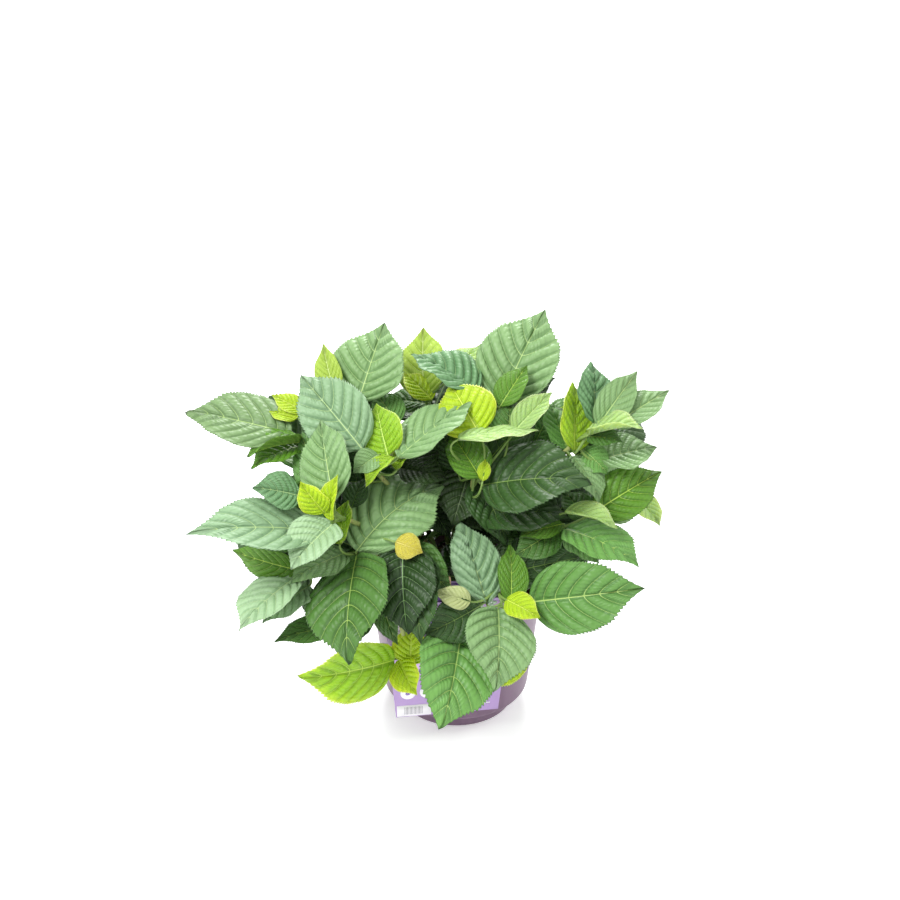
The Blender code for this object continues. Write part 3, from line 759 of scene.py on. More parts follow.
def cane_path(name, steps=40):
    """Points from the foot of a cane to its hub, in millimetres."""
    azimuth, distance, height, swing, _ = SHOOTS[name]
    hub = hub_of(name)
    share = (height - LOWEST_HUB) / (HIGHEST_HUB - LOWEST_HUB)
    ring = CANE_RING_LOW + (CANE_RING_HIGH - CANE_RING_LOW) * share
    foot = bearing(azimuth + swing) * (distance * ring)
    foot[2] = SOIL_HEIGHT
    bend = bearing(azimuth + swing * CANE_BEND_SWING) * (distance * CANE_BEND_REACH)
    bend[2] = foot[2] + (height - foot[2]) * CANE_BEND_RISE
    if name in LED_OVER:
        over = LED_OVER[name]
        bend = bearing(over.azimuth) * over.distance
        bend[2] = over.height
    t = np.linspace(0.0, 1.0, steps + 1)[:, None]
    return foot * (1 - t) ** 2 + bend * (2 * t * (1 - t)) + hub * t * t


# Leaves read from the camera's view.

EYE = np.array(CAMERA_PLACE) / MM
DOWN = math.radians(90.0 - CAMERA_PITCH)
VIEW_AHEAD = np.array((0.0, math.cos(DOWN), -math.sin(DOWN)))
VIEW_BELOW = np.array((0.0, -math.sin(DOWN), -math.cos(DOWN)))
VIEW_RIGHT = np.array((1.0, 0.0, 0.0))
VIEW_REACH = LENS / SENSOR * VIEW_SIDE
VIEW_MIDDLE = VIEW_SIDE / 2.0


def view_ray(pixel):
    """The way from the camera through a pixel of its view."""
    across, below = pixel[0] - VIEW_MIDDLE, pixel[1] - VIEW_MIDDLE
    return unit(VIEW_AHEAD * VIEW_REACH + VIEW_RIGHT * across + VIEW_BELOW * below)


def on_plane(pixel, y):
    """Where the ray through a pixel meets the upright plane at this Y."""
    way = view_ray(pixel)
    return EYE + way * ((y - EYE[1]) / way[1])


def in_view(point):
    """Where the camera sees a point, in pixels across and below the middle of its view."""
    way = point - EYE
    return VIEW_REACH / float(way @ VIEW_AHEAD) * np.array((way @ VIEW_RIGHT, way @ VIEW_BELOW))


def seen_across(foot, along, across, length):
    """How many pixels across the camera sees a millimetre of a blade's width."""
    middle = foot + along * length * BLADE_MIDDLE
    line = unit(in_view(foot + along * length) - in_view(foot))
    width = in_view(middle + across * 0.5) - in_view(middle - across * 0.5)
    return abs(float(width[0] * line[1] - width[1] * line[0]))


def rolled(along, out, roll):
    """Directions across and out of a blade that is rolled about its midrib."""
    across = np.cross(out, along)
    turn = math.radians(roll)
    return across * math.cos(turn) + out * math.sin(turn), out * math.cos(turn) - across * math.sin(turn)


def upper_side(along, lean):
    """The way out of a blade's upper face, on a shoot that leans this way."""
    out = lean - along * float(lean @ along)
    if np.linalg.norm(out) < UPRIGHT:
        out = np.array((0.0, 0.0, 1.0)) - along * along[2]
    return unit(out)


def fitted_roll(foot, along, out, length, across):
    """A blade's width for its length, and its roll, so that it looks as wide as it should.

    The width is kept to what such leaves have, and the roll makes up the rest.
    """
    def share(roll):
        return across / max(seen_across(foot, along, rolled(along, out, roll)[0], length), 1e-6) / length

    if SLIMMEST <= share(0) <= BROADEST:
        return share(0), 0
    target = SLIMMEST if share(0) < SLIMMEST else BROADEST
    sight = unit(EYE - foot - along * length * BLADE_MIDDLE)

    def cost(roll):
        turned_away = float(rolled(along, out, roll)[1] @ sight) <= EDGE_ON
        return abs(share(roll) - target) * WIDTH_COST + abs(roll) * ROLL_COST + AWAY_COST * turned_away

    roll = min(range(-MOST_ROLL, MOST_ROLL + 1), key=cost)
    return min(max(share(roll), LEAST_WIDTH), MOST_WIDTH), roll


def placed(name, shown):
    """A leaf that stands out, in whole millimetres and degrees from its shoot's hub."""
    hub = hub_of(name)
    foot = on_plane(shown["foot"], hub[1] + shown["back"])
    way = view_ray(shown["tip"])
    gap = EYE - foot
    nearest = -float(gap @ way)
    shortest = float(np.linalg.norm(gap + way * nearest))
    length = shortest * shown["reach"]
    past = math.sqrt(length ** 2 - shortest ** 2)
    tip = EYE + way * (nearest + (past if shown["far"] else -past))
    along = unit(tip - foot)
    width, roll = fitted_roll(foot, along, upper_side(along, shoot_axis(name)), length, shown["across"])
    return leaf(
        np.round(foot - hub),
        round(math.degrees(math.atan2(along[1], along[0]))),
        round(math.degrees(math.asin(along[2]))),
        round(length),
        round(width, 2),
        roll=roll,
        **shown["looks"],
    )


def leaf(start, azimuth, rise, length, width, tint, roll, fold, bend, quilt, sway, node=None):
    """One leaf, in millimetres and degrees: where its blade starts from the hub, and the way its tip lies."""
    return {
        "start": start,
        "azimuth": azimuth,
        "rise": rise,
        "length": length,
        "width": width,
        "tint": tint,
        "roll": roll,
        "fold": fold,
        "bend": bend,
        "quilt": quilt,
        "sway": sway,
        "node": node,
    }


def link(obj):
    """Put an object in the scene."""
    bpy.context.scene.collection.objects.link(obj)
    return obj


def mesh_piece(name, points, triangles, slots, materials, layout=None):
    """A mesh piece from arrays: points in millimetres, triangles, slots and, on blades, a flat layout."""
    mesh = bpy.data.meshes.new(name)
    mesh.vertices.add(len(points))
    mesh.vertices.foreach_set("co", (np.asarray(points, float) * MM).ravel())
    mesh.loops.add(len(triangles) * 3)
    mesh.loops.foreach_set("vertex_index", np.asarray(triangles, np.int32).ravel())
    mesh.polygons.add(len(triangles))
    mesh.polygons.foreach_set("loop_start", np.arange(0, len(triangles) * 3, 3, dtype=np.int32))
    mesh.polygons.foreach_set("material_index", np.asarray(slots, np.int32))
    mesh.polygons.foreach_set("use_smooth", np.full(len(triangles), True))
    if layout is not None:
        flat = mesh.uv_layers.new(name="blade")
        flat.data.foreach_set("uv", layout[np.asarray(triangles).ravel()].astype(np.float32).ravel())
    for material in materials:
        mesh.materials.append(material)
    mesh.update(calc_edges=True)
    mesh.validate()
    return link(bpy.data.objects.new(name, mesh))


def belongs(piece, slot, *nodes):
    """Every piece rides on the one body and stands for its solids. The slot is not used."""
    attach(piece, "root")
    if nodes:
        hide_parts(*nodes)
    return piece


# Leaf blades.

class BladeLayout:
    """Rows, columns and triangles of a blade that is closed all round.

    Rows run from the midrib out to the edge along the side veins. Each row lies a share of the way between
    two veins, and each vein is a strip of its own. The layout is the same on both faces of the blade.
    """

    def __init__(self, veins, teeth, columns):
        bounds = (0.0,) + veins + (1.0,)
        rows = []
        for block, count in enumerate(teeth):
            for step in range(count * 2 + 1):
                rows.append((bounds[block], bounds[block + 1], step / (count * 2.0), step, block))
        self.low, self.high, self.part, self.step, self.block = np.array(rows).T
        self.columns = np.array((0.0,) + columns)
        self.number_points()
        self.build_faces()
        self.lay_flat()
        self.sample = np.unique(np.concatenate([self.top[side][3:-2:4, 1::3].ravel() for side in range(2)]))

    def number_points(self):
        rows, columns = len(self.low), len(self.columns)
        self.top = np.zeros((2, rows, columns), int)
        self.bottom = np.zeros((2, rows, columns), int)
        count = 0
        for row in range(rows):
            ends = row in (0, rows - 1)
            middle = (count, count if ends else count + 1)
            count += 1 if ends else 2
            for side in range(2):
                self.top[side, row, 0], self.bottom[side, row, 0] = middle
                for column in range(1, columns):
                    if ends:
                        self.top[side, row, column] = self.bottom[side, row, column] = middle[0]
                        continue
                    self.top[side, row, column] = self.bottom[side, row, column] = count
                    count += 1
                    if column < columns - 1:
                        self.bottom[side, row, column] = count
                        count += 1
        self.count = count

    def build_faces(self):
        """Triangles and their slots: blade, blade by veins, which carries painted shade in the valleys, vein,
        underside, underside vein and margin.
        """
        triangles, slots = [], []
        last = len(self.columns) - 2
        for row in range(len(self.low) - 1):
            vein = self.part[row] == 1.0
            beside_vein_shade = self.part[row] == 0.0 or self.part[row + 1] == 1.0
            for side in range(2):
                for column in range(last + 1):
                    rib = column == 0 or (vein and column < last)
                    rim = column == last
                    # Rows beside a vein and the column by the midrib take the darker blade: painted shade in
                    # the valleys.
                    valley_shade = beside_vein_shade or column == 1
                    for grid, under in ((self.top, False), (self.bottom, True)):
                        a, b = grid[side, row, column], grid[side, row + 1, column]
                        c, d = grid[side, row + 1, column + 1], grid[side, row, column + 1]
                        slot = (4 if rib else 3) if under else (2 if rib else (5 if rim else int(valley_shade)))
                        for corners in ((a, b, c), (a, c, d)):
                            if len(set(corners)) == 3:
                                triangles.append(corners if (side == 1) != under else corners[::-1])
                                slots.append(slot)
        self.triangles, self.slots = np.array(triangles), np.array(slots)

    def lay_flat(self):
        """A flat layout of the blade: across by its columns and along by its veins, its halves set apart."""
        self.flat = np.zeros((self.count, 2))
        for side in range(2):
            across = self.columns[None, :] + side * FLAT_ASIDE
            along = (self.block + self.part)[:, None] * FLAT_STEP + side * FLAT_SHIFT
            places = np.stack(np.broadcast_arrays(across, along), axis=-1)
            self.flat[self.top[side]] = places
            self.flat[self.bottom[side]] = places


FINE_BLADE = BladeLayout(VEINS, TEETH_BETWEEN, COLUMNS)
PLAIN_BLADE = BladeLayout(PLAIN_VEINS, PLAIN_TEETH, PLAIN_COLUMNS)


def outline_width(share):
    """Half-width of a blade at a share of its length, for a half-width of 1 at its widest."""
    peak = OUTLINE_RISE / (OUTLINE_RISE + OUTLINE_FALL)
    full = peak ** OUTLINE_RISE * (1 - peak) ** OUTLINE_FALL
    pinch = 1.0 - TIP_PINCH * np.clip((share - TIP_START) / (1.0 - TIP_START), 0, 1)
    return np.clip(share, 0, 1) ** OUTLINE_RISE * np.clip(1 - share, 0, 1) ** OUTLINE_FALL * pinch / full


def blade_points(layout, spec, chord, rng):
    """Points of one blade in its own frame: along it, across it and out of its upper face."""
    length = chord * (1.0 + ARCH_STRETCH * spec["bend"] ** 2)
    width = spec["width"] * length * 0.5
    columns, low, high = layout.columns, layout.low, layout.high
    part, step, block = layout.part, layout.step, layout.block
    v = columns[None, :]
    half = VEIN_HALF * (1.0 - VEIN_TAPER * v) * np.ones((len(low), 1))
    start = np.where(low[:, None] > 0, low[:, None] + half, 0.0)
    end = np.where(high[:, None] < 1, high[:, None] - half, 1.0)
    r = start + (end - start) * part[:, None]
    mid = r ** VEIN_FEET
    margin = r ** VEIN_ENDS
    s = mid + (margin - mid) * v ** VEIN_CURVE
    wide = outline_width(margin) * width
    # Teeth: every other row is a notch, and the others stand out a little and lean towards the tip.
    fade = np.clip((margin - TEETH_START) / TEETH_RISE, 0, 1) * np.clip((1.0 - margin) / TEETH_FADE, 0, 1)
    notch = (step % 2 == 1)[:, None]
    uneven = 1.0 + TOOTH_UNEVEN * np.sin(step * 2.4 + block * 1.7 + rng.uniform(0, 6))[:, None]
    edge = v ** TEETH_EDGE
    wide = wide * (1.0 - np.where(notch, TOOTH_DEPTH, -TOOTH_DEPTH * TOOTH_PEAK) * uneven * fade * edge)
    s = s + np.where(notch, -TOOTH_LEAN * NOTCH_LEAN, TOOTH_LEAN) * fade * edge
    rib = MIDRIB_HALF * (1.0 - VEIN_TAPER * mid) * min(1.0, length / FULL_MIDRIB)
    rib = np.minimum(rib, wide * 0.5)
    x = rib + v * (wide - rib)
    x[:, 0] = 0.0
    # Relief: the blade swells up between its veins, more in leaves that are strongly quilted.
    swell = np.where(block[:, None] == block.max(), QUILT_AT_TIP, 1.0)
    between = swell * (4 * part * (1 - part))[:, None] ** QUILT_SHAPE
    pillow = np.clip(v / QUILT_STARTS, 0, 1) * np.clip((QUILT_ENDS - v) / QUILT_FALL, 0, 1)
    ripple = 1.0 + RIPPLE * np.cos(v * RIPPLE_RATE + block[:, None] * RIPPLE_SHIFT)
    lift = QUILT * width * spec["quilt"] * between * pillow * ripple
    sides = []
    for side in (1.0, -1.0):
        phase = rng.uniform(0, WAVE_START)
        waves = rng.uniform(*WAVE_COUNT)
        wave = np.sin(s * FULL_TURN * waves + phase) * v ** WAVE_EDGE * width * WAVE_HEIGHT
        fold = math.radians(spec["fold"] * rng.uniform(*FOLD_SPREAD))
        curl = v ** 2 * width * rng.uniform(*CURL)
        z = lift + wave - curl
        across = x * math.cos(fold) - z * math.sin(fold)
        out = x * math.sin(fold) + z * math.cos(fold)
        sides.append((across * side, out))
    # Veins and midrib stand out of the underside, and the blade thins to nothing at its edge.
    thick = BLADE_THICKNESS * (1.0 - v ** THIN_EDGE) * np.ones_like(s)
    on_vein = ((part == 0.0) & (low > 0)) | ((part == 1.0) & (high < 1))
    thick = thick + np.where(on_vein[:, None], VEIN_RAISE * (1.0 - v) ** VEIN_FADE, 0.0)
    thick[:, 0] = BLADE_THICKNESS + VEIN_RAISE * MIDRIB_RAISE * (1.0 - MIDRIB_FALL * mid[:, 0])
    thick[:, 1] = BLADE_THICKNESS + VEIN_RAISE * (1.0 - MIDRIB_FALL * mid[:, 1])
    points = np.zeros((layout.count, 3))
    for side in range(2):
        across, out = sides[side]
        points[layout.bottom[side]] = np.stack((s * length, across, out - thick), axis=-1)
        points[layout.top[side]] = np.stack((s * length, across, out), axis=-1)
    return points, length


def bent(points, length, spec, rng):
    """Lay a straight blade along a midrib that arches, sways and twists, with its tip on the axis."""
    samples = np.linspace(0.0, 1.0, ARCH_SAMPLES)
    droop = math.radians(spec["bend"])
    sway = math.radians(rng.uniform(-1, 1) * spec["sway"])
    twist = math.radians(rng.uniform(-1, 1) * spec["sway"])
    pitch = -droop * samples ** ARCH_SHAPE
    yaw = sway * samples
    turn = twist * samples
    along = np.stack((np.cos(pitch) * np.cos(yaw), np.sin(yaw), np.sin(pitch) * np.cos(yaw)), axis=-1)
    out = np.stack((-np.sin(pitch), np.zeros_like(pitch), np.cos(pitch)), axis=-1)
    across = np.cross(out, along)
    swung_across = across * np.cos(turn)[:, None] + out * np.sin(turn)[:, None]
    swung_out = out * np.cos(turn)[:, None] - across * np.sin(turn)[:, None]
    centre = np.zeros((len(samples), 3))
    centre[1:] = np.cumsum((along[1:] + along[:-1]) * 0.5, axis=0) / (len(samples) - 1)
    chord = centre[-1]
    scale = 1.0 / np.linalg.norm(chord)
    first = chord * scale
    third = unit(np.array((0.0, 0.0, 1.0)) - first * first[2])
    frame_rows = np.array((first, np.cross(third, first), third))
    at = np.clip(points[:, 0] / length, 0.0, 1.0)
    beyond = points[:, 0] - at * length

    def sampled(field):
        return np.stack([np.interp(at, samples, field[:, axis]) for axis in range(3)], axis=-1)

    place = sampled(centre) * length * scale + sampled(along) * beyond[:, None]
    place = place + sampled(swung_across) * points[:, 1:2] + sampled(swung_out) * points[:, 2:3]
    return place @ frame_rows.T


def tube(path, radii, sides=8):
    """A round bar along a path, closed at both ends, as points and triangles."""
    path = np.asarray(path, float)
    tangents = np.gradient(path, axis=0)
    tangents = tangents / np.linalg.norm(tangents, axis=1)[:, None]
    # The first ring starts from any direction that isn't the bar's own.
    helper = np.array((0.31, 0.17, 0.93)) if abs(tangents[0][2]) < 0.9 else np.array((1.0, 0.2, 0.1))
    points = []
    side = unit(np.cross(tangents[0], helper))
    for centre, tangent, radius in zip(path, tangents, radii):
        side = unit(side - tangent * float(side @ tangent))
        other = np.cross(tangent, side)
        angles = np.arange(sides) * (2 * math.pi / sides)
        ring = centre + radius * (np.cos(angles)[:, None] * side + np.sin(angles)[:, None] * other)
        points.append(ring)
    count = len(path)
    points = np.vstack(points + [path[:1], path[-1:]])
    triangles = []
    for row in range(count - 1):
        for step in range(sides):
            a = row * sides + step
            b = row * sides + (step + 1) % sides
            triangles += [(a, b, b + sides), (a, b + sides, a + sides)]
    for step in range(sides):
        following = (step + 1) % sides
        triangles.append((count * sides, following, step))
        last = (count - 1) * sides
        triangles.append((count * sides + 1, last + step, last + following))
    return points, np.array(triangles)


class Batch:
    """Points, triangles and slots of many small shapes, gathered for one piece."""

    def __init__(self):
        self.points = []
        self.triangles = []
        self.slots = []
        self.layouts = []
        self.materials = []
        self.count = 0

    def add(self, points, triangles, slots, materials, layout=None):
        numbers = []
        for material in materials:
            if material not in self.materials:
                self.materials.append(material)
            numbers.append(self.materials.index(material))
        self.points.append(points)
        self.triangles.append(np.asarray(triangles) + self.count)
        self.slots.append(np.array(numbers)[np.asarray(slots)])
        if layout is not None:
            self.layouts.append(layout)
        self.count += len(points)

    def piece(self, name):
        layout = np.vstack(self.layouts) if self.layouts else None
        return mesh_piece(
            name,
            np.vstack(self.points),
            np.vstack(self.triangles),
            np.concatenate(self.slots),
            self.materials,
            layout,
        )


def leaf_frame(spec, lean):
    """Directions along, across and out of the upper face, for a leaf on a shoot that leans this way."""
    along = bearing(spec["azimuth"], spec["rise"])
    across, out = rolled(along, upper_side(along, lean), spec["roll"])
    return along, across, out


def place_leaf(layout, spec, hub, node, lean, rng):
    """A whole leaf: its blade's points, and its stalk from a node of the shoot."""
    along, across, out = leaf_frame(spec, lean)
    straight, length = blade_points(layout, spec, spec["length"], rng)
    local = bent(straight, length, spec, rng)
    foot, tip = local[layout.top[0][0, 0]], local[layout.top[0][-1, 0]]
    local = local * (spec["length"] / np.linalg.norm(tip - foot))
    base = hub + np.array(spec["start"], float)
    blade = base + local @ np.array((along, across, out))
    reach = float(np.linalg.norm(base - node))
    inward = base - along * reach * STALK_BOW - out * reach * STALK_SAG
    end = base + along * STALK_INTO_BLADE - out * STALK_UNDER_BLADE
    steps = np.linspace(0.0, 1.0, STALK_POINTS)[:, None]
    stalk = node * (1 - steps) ** 2 + inward * (2 * steps * (1 - steps)) + end * steps ** 2
    return blade, stalk


def nearness(points, others):
    """How many of a leaf's sample points lie close to the leaves already there."""
    cloud = np.vstack(others)
    box = (cloud > points.min(axis=0) - NEAR).all(axis=1) & (cloud < points.max(axis=0) + NEAR).all(axis=1)
    cloud = cloud[box]
    if not len(cloud):
        return 0
    gaps = np.linalg.norm(points[:, None, :] - cloud[None, :, :], axis=2).min(axis=1)
    return int((gaps < NEAR).sum())


def from_camera(points):
    """Points as seen on the upright plane through the pot's axis, and how far off they are."""
    way = points - EYE
    share = -EYE[1] / way[:, 1]
    laid = EYE + way * share[:, None]
    return laid[:, (0, 2)], np.linalg.norm(way, axis=1)


CROWN_CORNERS = np.array([np.round(on_plane(pixel, 0.0)[[0, 2]]) for pixel in CROWN_OUTLINE])


def inside_outline(laid):
    """Which laid points are inside the crown's outline."""
    corner_x, corner_z = CROWN_CORNERS.T
    next_x, next_z = np.roll(CROWN_CORNERS, -1, axis=0).T
    x, z = laid[:, :1], laid[:, 1:]
    spans = (corner_z > z) != (next_z > z)
    rise = next_z - corner_z
    cross = corner_x + (z - corner_z) * (next_x - corner_x) / np.where(rise == 0, 1.0, rise)
    return ((spans & (x < cross)).sum(axis=1) % 2) == 1


class FrontView:
    """What the leaves that stand out cover, so that no other leaf grows in front of them."""

    def __init__(self):
        self.nearest = {}

    def cells(self, points):
        laid, far = from_camera(points)
        return [(int(x), int(z)) for x, z in np.floor(laid / CELL)], far

    def cover(self, points):
        cells, far = self.cells(points)
        for cell, distance in zip(cells, far):
            self.nearest[cell] = min(distance, self.nearest.get(cell, 1e9))

    def hides(self, points):
        cells, far = self.cells(points)
        hidden = 0
        for cell, distance in zip(cells, far):
            hidden += distance < self.nearest.get(cell, -1.0) + HIDDEN_SLACK
        return hidden > HIDDEN_SHARE * len(points)


def forbidden(points):
    """Whether a leaf would enter the pot or the card, or leave the crown's box or its outline."""
    radius = np.linalg.norm(points[:, :2], axis=1)
    in_pot = (radius < RIM_RADIUS + POT_CLEARANCE) & (points[:, 2] < POT_HEIGHT + RIM_CLEARANCE)
    if in_pot.any() or points[:, 2].min() < LOWEST_LEAF:
        return True
    near_card = np.abs(points[:, 0] - CARD_MIDDLE) < CARD_REACH
    near_card &= (points[:, 1] < CARD_BEHIND) & (points[:, 1] > CARD_BEFORE)
    if (near_card & (points[:, 2] < CARD_ABOVE)).any():
        return True
    low, high = np.array(cad_box[0]) / MM - BOX_SLACK, np.array(cad_box[1]) / MM + BOX_SLACK
    if (points < low).any() or (points > high).any():
        return True
    return not inside_outline(from_camera(points)[0]).all()


def node_of(name, order):
    """A node on the shoot, counted down from its tip."""
    path = cane_path(name, FINE_STEPS)[::-1]
    run = np.cumsum(np.linalg.norm(np.diff(path, axis=0), axis=1))
    return path[1 + int(np.searchsorted(run, FIRST_NODE + order * PAIR_STEP))]


class Shade:
    """Which cells the leaves fill, seen from the camera and along the three axes."""

    def __init__(self):
        self.filled = set()

    def cells(self, points):
        laid = from_camera(points)[0]
        found = {(0, int(a), int(b)) for a, b in np.floor(laid / SHADE_CELL)}
        for view, axes in enumerate(((0, 1), (0, 2), (1, 2)), 1):
            found |= {(view, int(a), int(b)) for a, b in np.floor(points[:, axes] / SHADE_CELL)}
        return found

    def gain(self, points):
        fresh = self.cells(points) - self.filled
        return sum(FRONT_WEIGHT if cell[0] == 0 else 1.0 for cell in fresh)

    def add(self, points):
        self.filled |= self.cells(points)


def filling_leaf(name, standing, pair, side, lean, rng):
    """One leaf of a crosswise pair, with its own turn, size and tint."""
    grown = PAIRS[pair]
    first = standing[0]["azimuth"] if standing else SHOOTS[name].azimuth
    tints = grown.tints if len(standing) < OPEN_SHOOT else BETWEEN_TINTS
    azimuth = first + 45.0 + pair * 90.0 + side + rng.uniform(-TURN_SPREAD, TURN_SPREAD)
    rise = grown.rise + rng.uniform(-RISE_SPREAD, RISE_SPREAD)
    way = unit(bearing(azimuth, rise) + lean * LEAN_SHARE)
    spec = leaf(
        way * grown.stalk,
        math.degrees(math.atan2(way[1], way[0])),
        math.degrees(math.asin(way[2])),
        grown.length * rng.uniform(*LENGTH_SPREAD),
        tint=tints[int(rng.integers(len(tints)))],
        width=rng.uniform(*WIDTH_SPREAD),
        roll=rng.uniform(-ROLL_SPREAD, ROLL_SPREAD),
        fold=rng.uniform(*FOLD_RANGE),
        bend=rng.uniform(*BEND_RANGE),
        quilt=rng.uniform(*QUILT_RANGE),
        sway=FILL_SWAY,
    )
    node = node_of(name, grown.node)
    return spec, place_leaf(PLAIN_BLADE, spec, node, node, lean, rng)


def grow_shoots(rng):
    """All leaves and stalks by shoot: first those that stand out, then pairs set crosswise by rule."""
    standing = {name: [placed(name, shown) for shown in SHOOTS[name].leaves] for name in SHOOTS}
    grown = {name: [] for name in SHOOTS}
    cloud = []
    view = FrontView()
    shade = Shade()
    for name in SHOOTS:
        lean = shoot_axis(name)
        for order, spec in enumerate(standing[name]):
            node = node_of(name, order * STANDING_STEP if spec["node"] is None else spec["node"])
            blade, stalk = place_leaf(FINE_BLADE, spec, hub_of(name), node, lean, rng)
            grown[name].append((FINE_BLADE, spec["tint"], blade, stalk))
            cloud.append(blade[FINE_BLADE.sample])
            view.cover(blade)
            shade.add(blade)
    for pair in range(len(PAIRS)):
        for name in SHOOTS:
            lean = shoot_axis(name)
            for side in (0.0, 180.0):
                best = None
                for _ in range(TRIES):
                    spec, (blade, stalk) = filling_leaf(name, standing[name], pair, side, lean, rng)
                    if forbidden(blade[PLAIN_BLADE.sample]) or view.hides(blade):
                        continue
                    crowd = nearness(blade[PLAIN_BLADE.sample], cloud)
                    if crowd > CROWDED:
                        continue
                    score = shade.gain(blade) - crowd * CROWD_WEIGHT
                    if best is None or score > best[0]:
                        best = (score, spec, blade, stalk)
                if best is None or best[0] < LEAST_GAIN:
                    continue
                grown[name].append((PLAIN_BLADE, best[1]["tint"], best[2], best[3]))
                cloud.append(best[2][PLAIN_BLADE.sample])
                shade.add(best[2])
    return grown


def build_leaves(finishes, stalk_finish, rng):
    """One piece of leaves for each shoot, and one of its stalks and green stem."""
    grown = grow_shoots(rng)
    total = 0
    for name, leaves in grown.items():
        blades = Batch()
        stalks = Batch()
        for layout, tint, blade, stalk in leaves:
            blades.add(blade, layout.triangles, layout.slots, finishes[tint], layout.flat)
            points, triangles = tube(stalk, np.linspace(STALK_FOOT_RADIUS, STALK_TIP_RADIUS, len(stalk)))
            stalks.add(points, triangles, np.zeros(len(triangles), int), (stalk_finish,))
            total += len(layout.triangles)
        path = cane_path(name, FINE_STEPS)
        stem = path[np.linalg.norm(path - path[-1], axis=1) < STEM_LENGTH][::4]
        stem = np.vstack((stem, path[-1] + unit(path[-1] - path[-5]) * STEM_PAST_HUB))
        points, triangles = tube(stem, np.linspace(STEM_FOOT_RADIUS, STEM_TIP_RADIUS, len(stem)))
        stalks.add(points, triangles, np.zeros(len(triangles), int), (stalk_finish,))
        belongs(blades.piece("leaves_" + name), "leaf", "foliage_" + name)
        belongs(stalks.piece("stalks_" + name), "cane")
    print("leaves", sum(len(leaves) for leaves in grown.values()), "triangles", total)


# Modelling by hand: primitives, edit-mode tools and applied modifiers.

def deselect():
    """Select nothing."""
    for obj in bpy.context.selected_objects:
        obj.select_set(False)


def active(obj):
    """Select one object alone and make it the active one."""
    deselect()
    obj.select_set(True)
    bpy.context.view_layer.objects.active = obj
    return obj


def primitive(kind, name, **settings):
    """Add a primitive with nothing else selected, and open it with all of it selected."""
    deselect()
    getattr(bpy.ops.mesh, "primitive_" + kind + "_add")(**settings)
    obj = bpy.context.object
    obj.name = name
    bpy.ops.object.mode_set(mode="EDIT")
    bpy.ops.mesh.select_all(action="SELECT")
    return obj


def select_where(obj, test):
    """Select the open mesh's points whose place passes a test, and nothing else."""
    bpy.ops.mesh.select_all(action="DESELECT")
    mesh = bmesh.from_edit_mesh(obj.data)
    for vert in mesh.verts:
        vert.select = test(vert.co)
    mesh.select_flush(True)
    bmesh.update_edit_mesh(obj.data)


def extrude(x=0.0, y=0.0, z=0.0):
    """Extrude what is selected by a step in millimetres."""
    bpy.ops.mesh.extrude_region_move(TRANSFORM_OT_translate={"value": (x * MM, y * MM, z * MM)})


def closed(obj, merge=0.01):
    """Merge what touches, turn the faces outwards and leave edit mode."""
    bpy.ops.mesh.select_all(action="SELECT")
    bpy.ops.mesh.remove_doubles(threshold=merge * MM)
    bpy.ops.mesh.normals_make_consistent(inside=False)
    bpy.ops.object.mode_set(mode="OBJECT")
    return obj


def modified(obj, kind, **settings):
    """Give a piece one modifier with its settings, and apply it."""
    active(obj)
    modifier = obj.modifiers.new(kind.lower(), kind)
    for key, value in settings.items():
        setattr(modifier, key, value)
    bpy.ops.object.modifier_apply(modifier=modifier.name)
    return obj


def lumps(obj, size, height, direction="NORMAL", group=""):
    """Real relief in the mesh: lumps of a size and height in millimetres."""
    texture = bpy.data.textures.new(obj.name + "_lumps", "CLOUDS")
    texture.noise_scale = size * MM
    return modified(
        obj,
        "DISPLACE",
        texture=texture,
        texture_coords="LOCAL",
        direction=direction,
        strength=height * MM,
        mid_level=0.5,
        vertex_group=group,
    )


def shaded(obj, angle=32.0):
    """Smooth shading, but for edges sharper than an angle in degrees."""
    active(obj)
    bpy.ops.object.shade_smooth_by_angle(angle=math.radians(angle))
    return obj


def spun(name, profile, steps=96):
    """A profile of radius and height, extruded point by point and spun about the upright axis."""
    obj = primitive("plane", name, size=0.01)
    bpy.ops.mesh.merge(type="CENTER")
    bpy.ops.transform.translate(value=(profile[0][0] * MM, 0.0, profile[0][1] * MM))
    for (radius, height), (next_radius, next_height) in zip(profile, profile[1:]):
        extrude(x=next_radius - radius, z=next_height - height)
    bpy.ops.mesh.select_all(action="SELECT")
    bpy.ops.mesh.spin(steps=steps, angle=math.tau, center=(0, 0, 0), axis=(0, 0, 1))
    return closed(obj, 0.02)


def drawn_bar(name, path, radii, roundness=6):
    """A round bar drawn as a thick curve through its points, closed at both ends and made a mesh."""
    deselect()
    bpy.ops.curve.primitive_nurbs_path_add(radius=0.01)
    bar = bpy.context.object
    bar.name = name
    curve = bar.data
    curve.splines.clear()
    spline = curve.splines.new("POLY")
    spline.points.add(len(path) - 1)
    for point, place, radius in zip(spline.points, path, radii):
        point.co = (place[0] * MM, place[1] * MM, place[2] * MM, 1.0)
        point.radius = radius
    curve.bevel_depth = MM
    curve.bevel_resolution = roundness
    curve.use_fill_caps = True
    bpy.ops.object.convert(target="MESH")
    bar = bpy.context.object
    bpy.ops.object.mode_set(mode="EDIT")
    return closed(bar, 0.001)


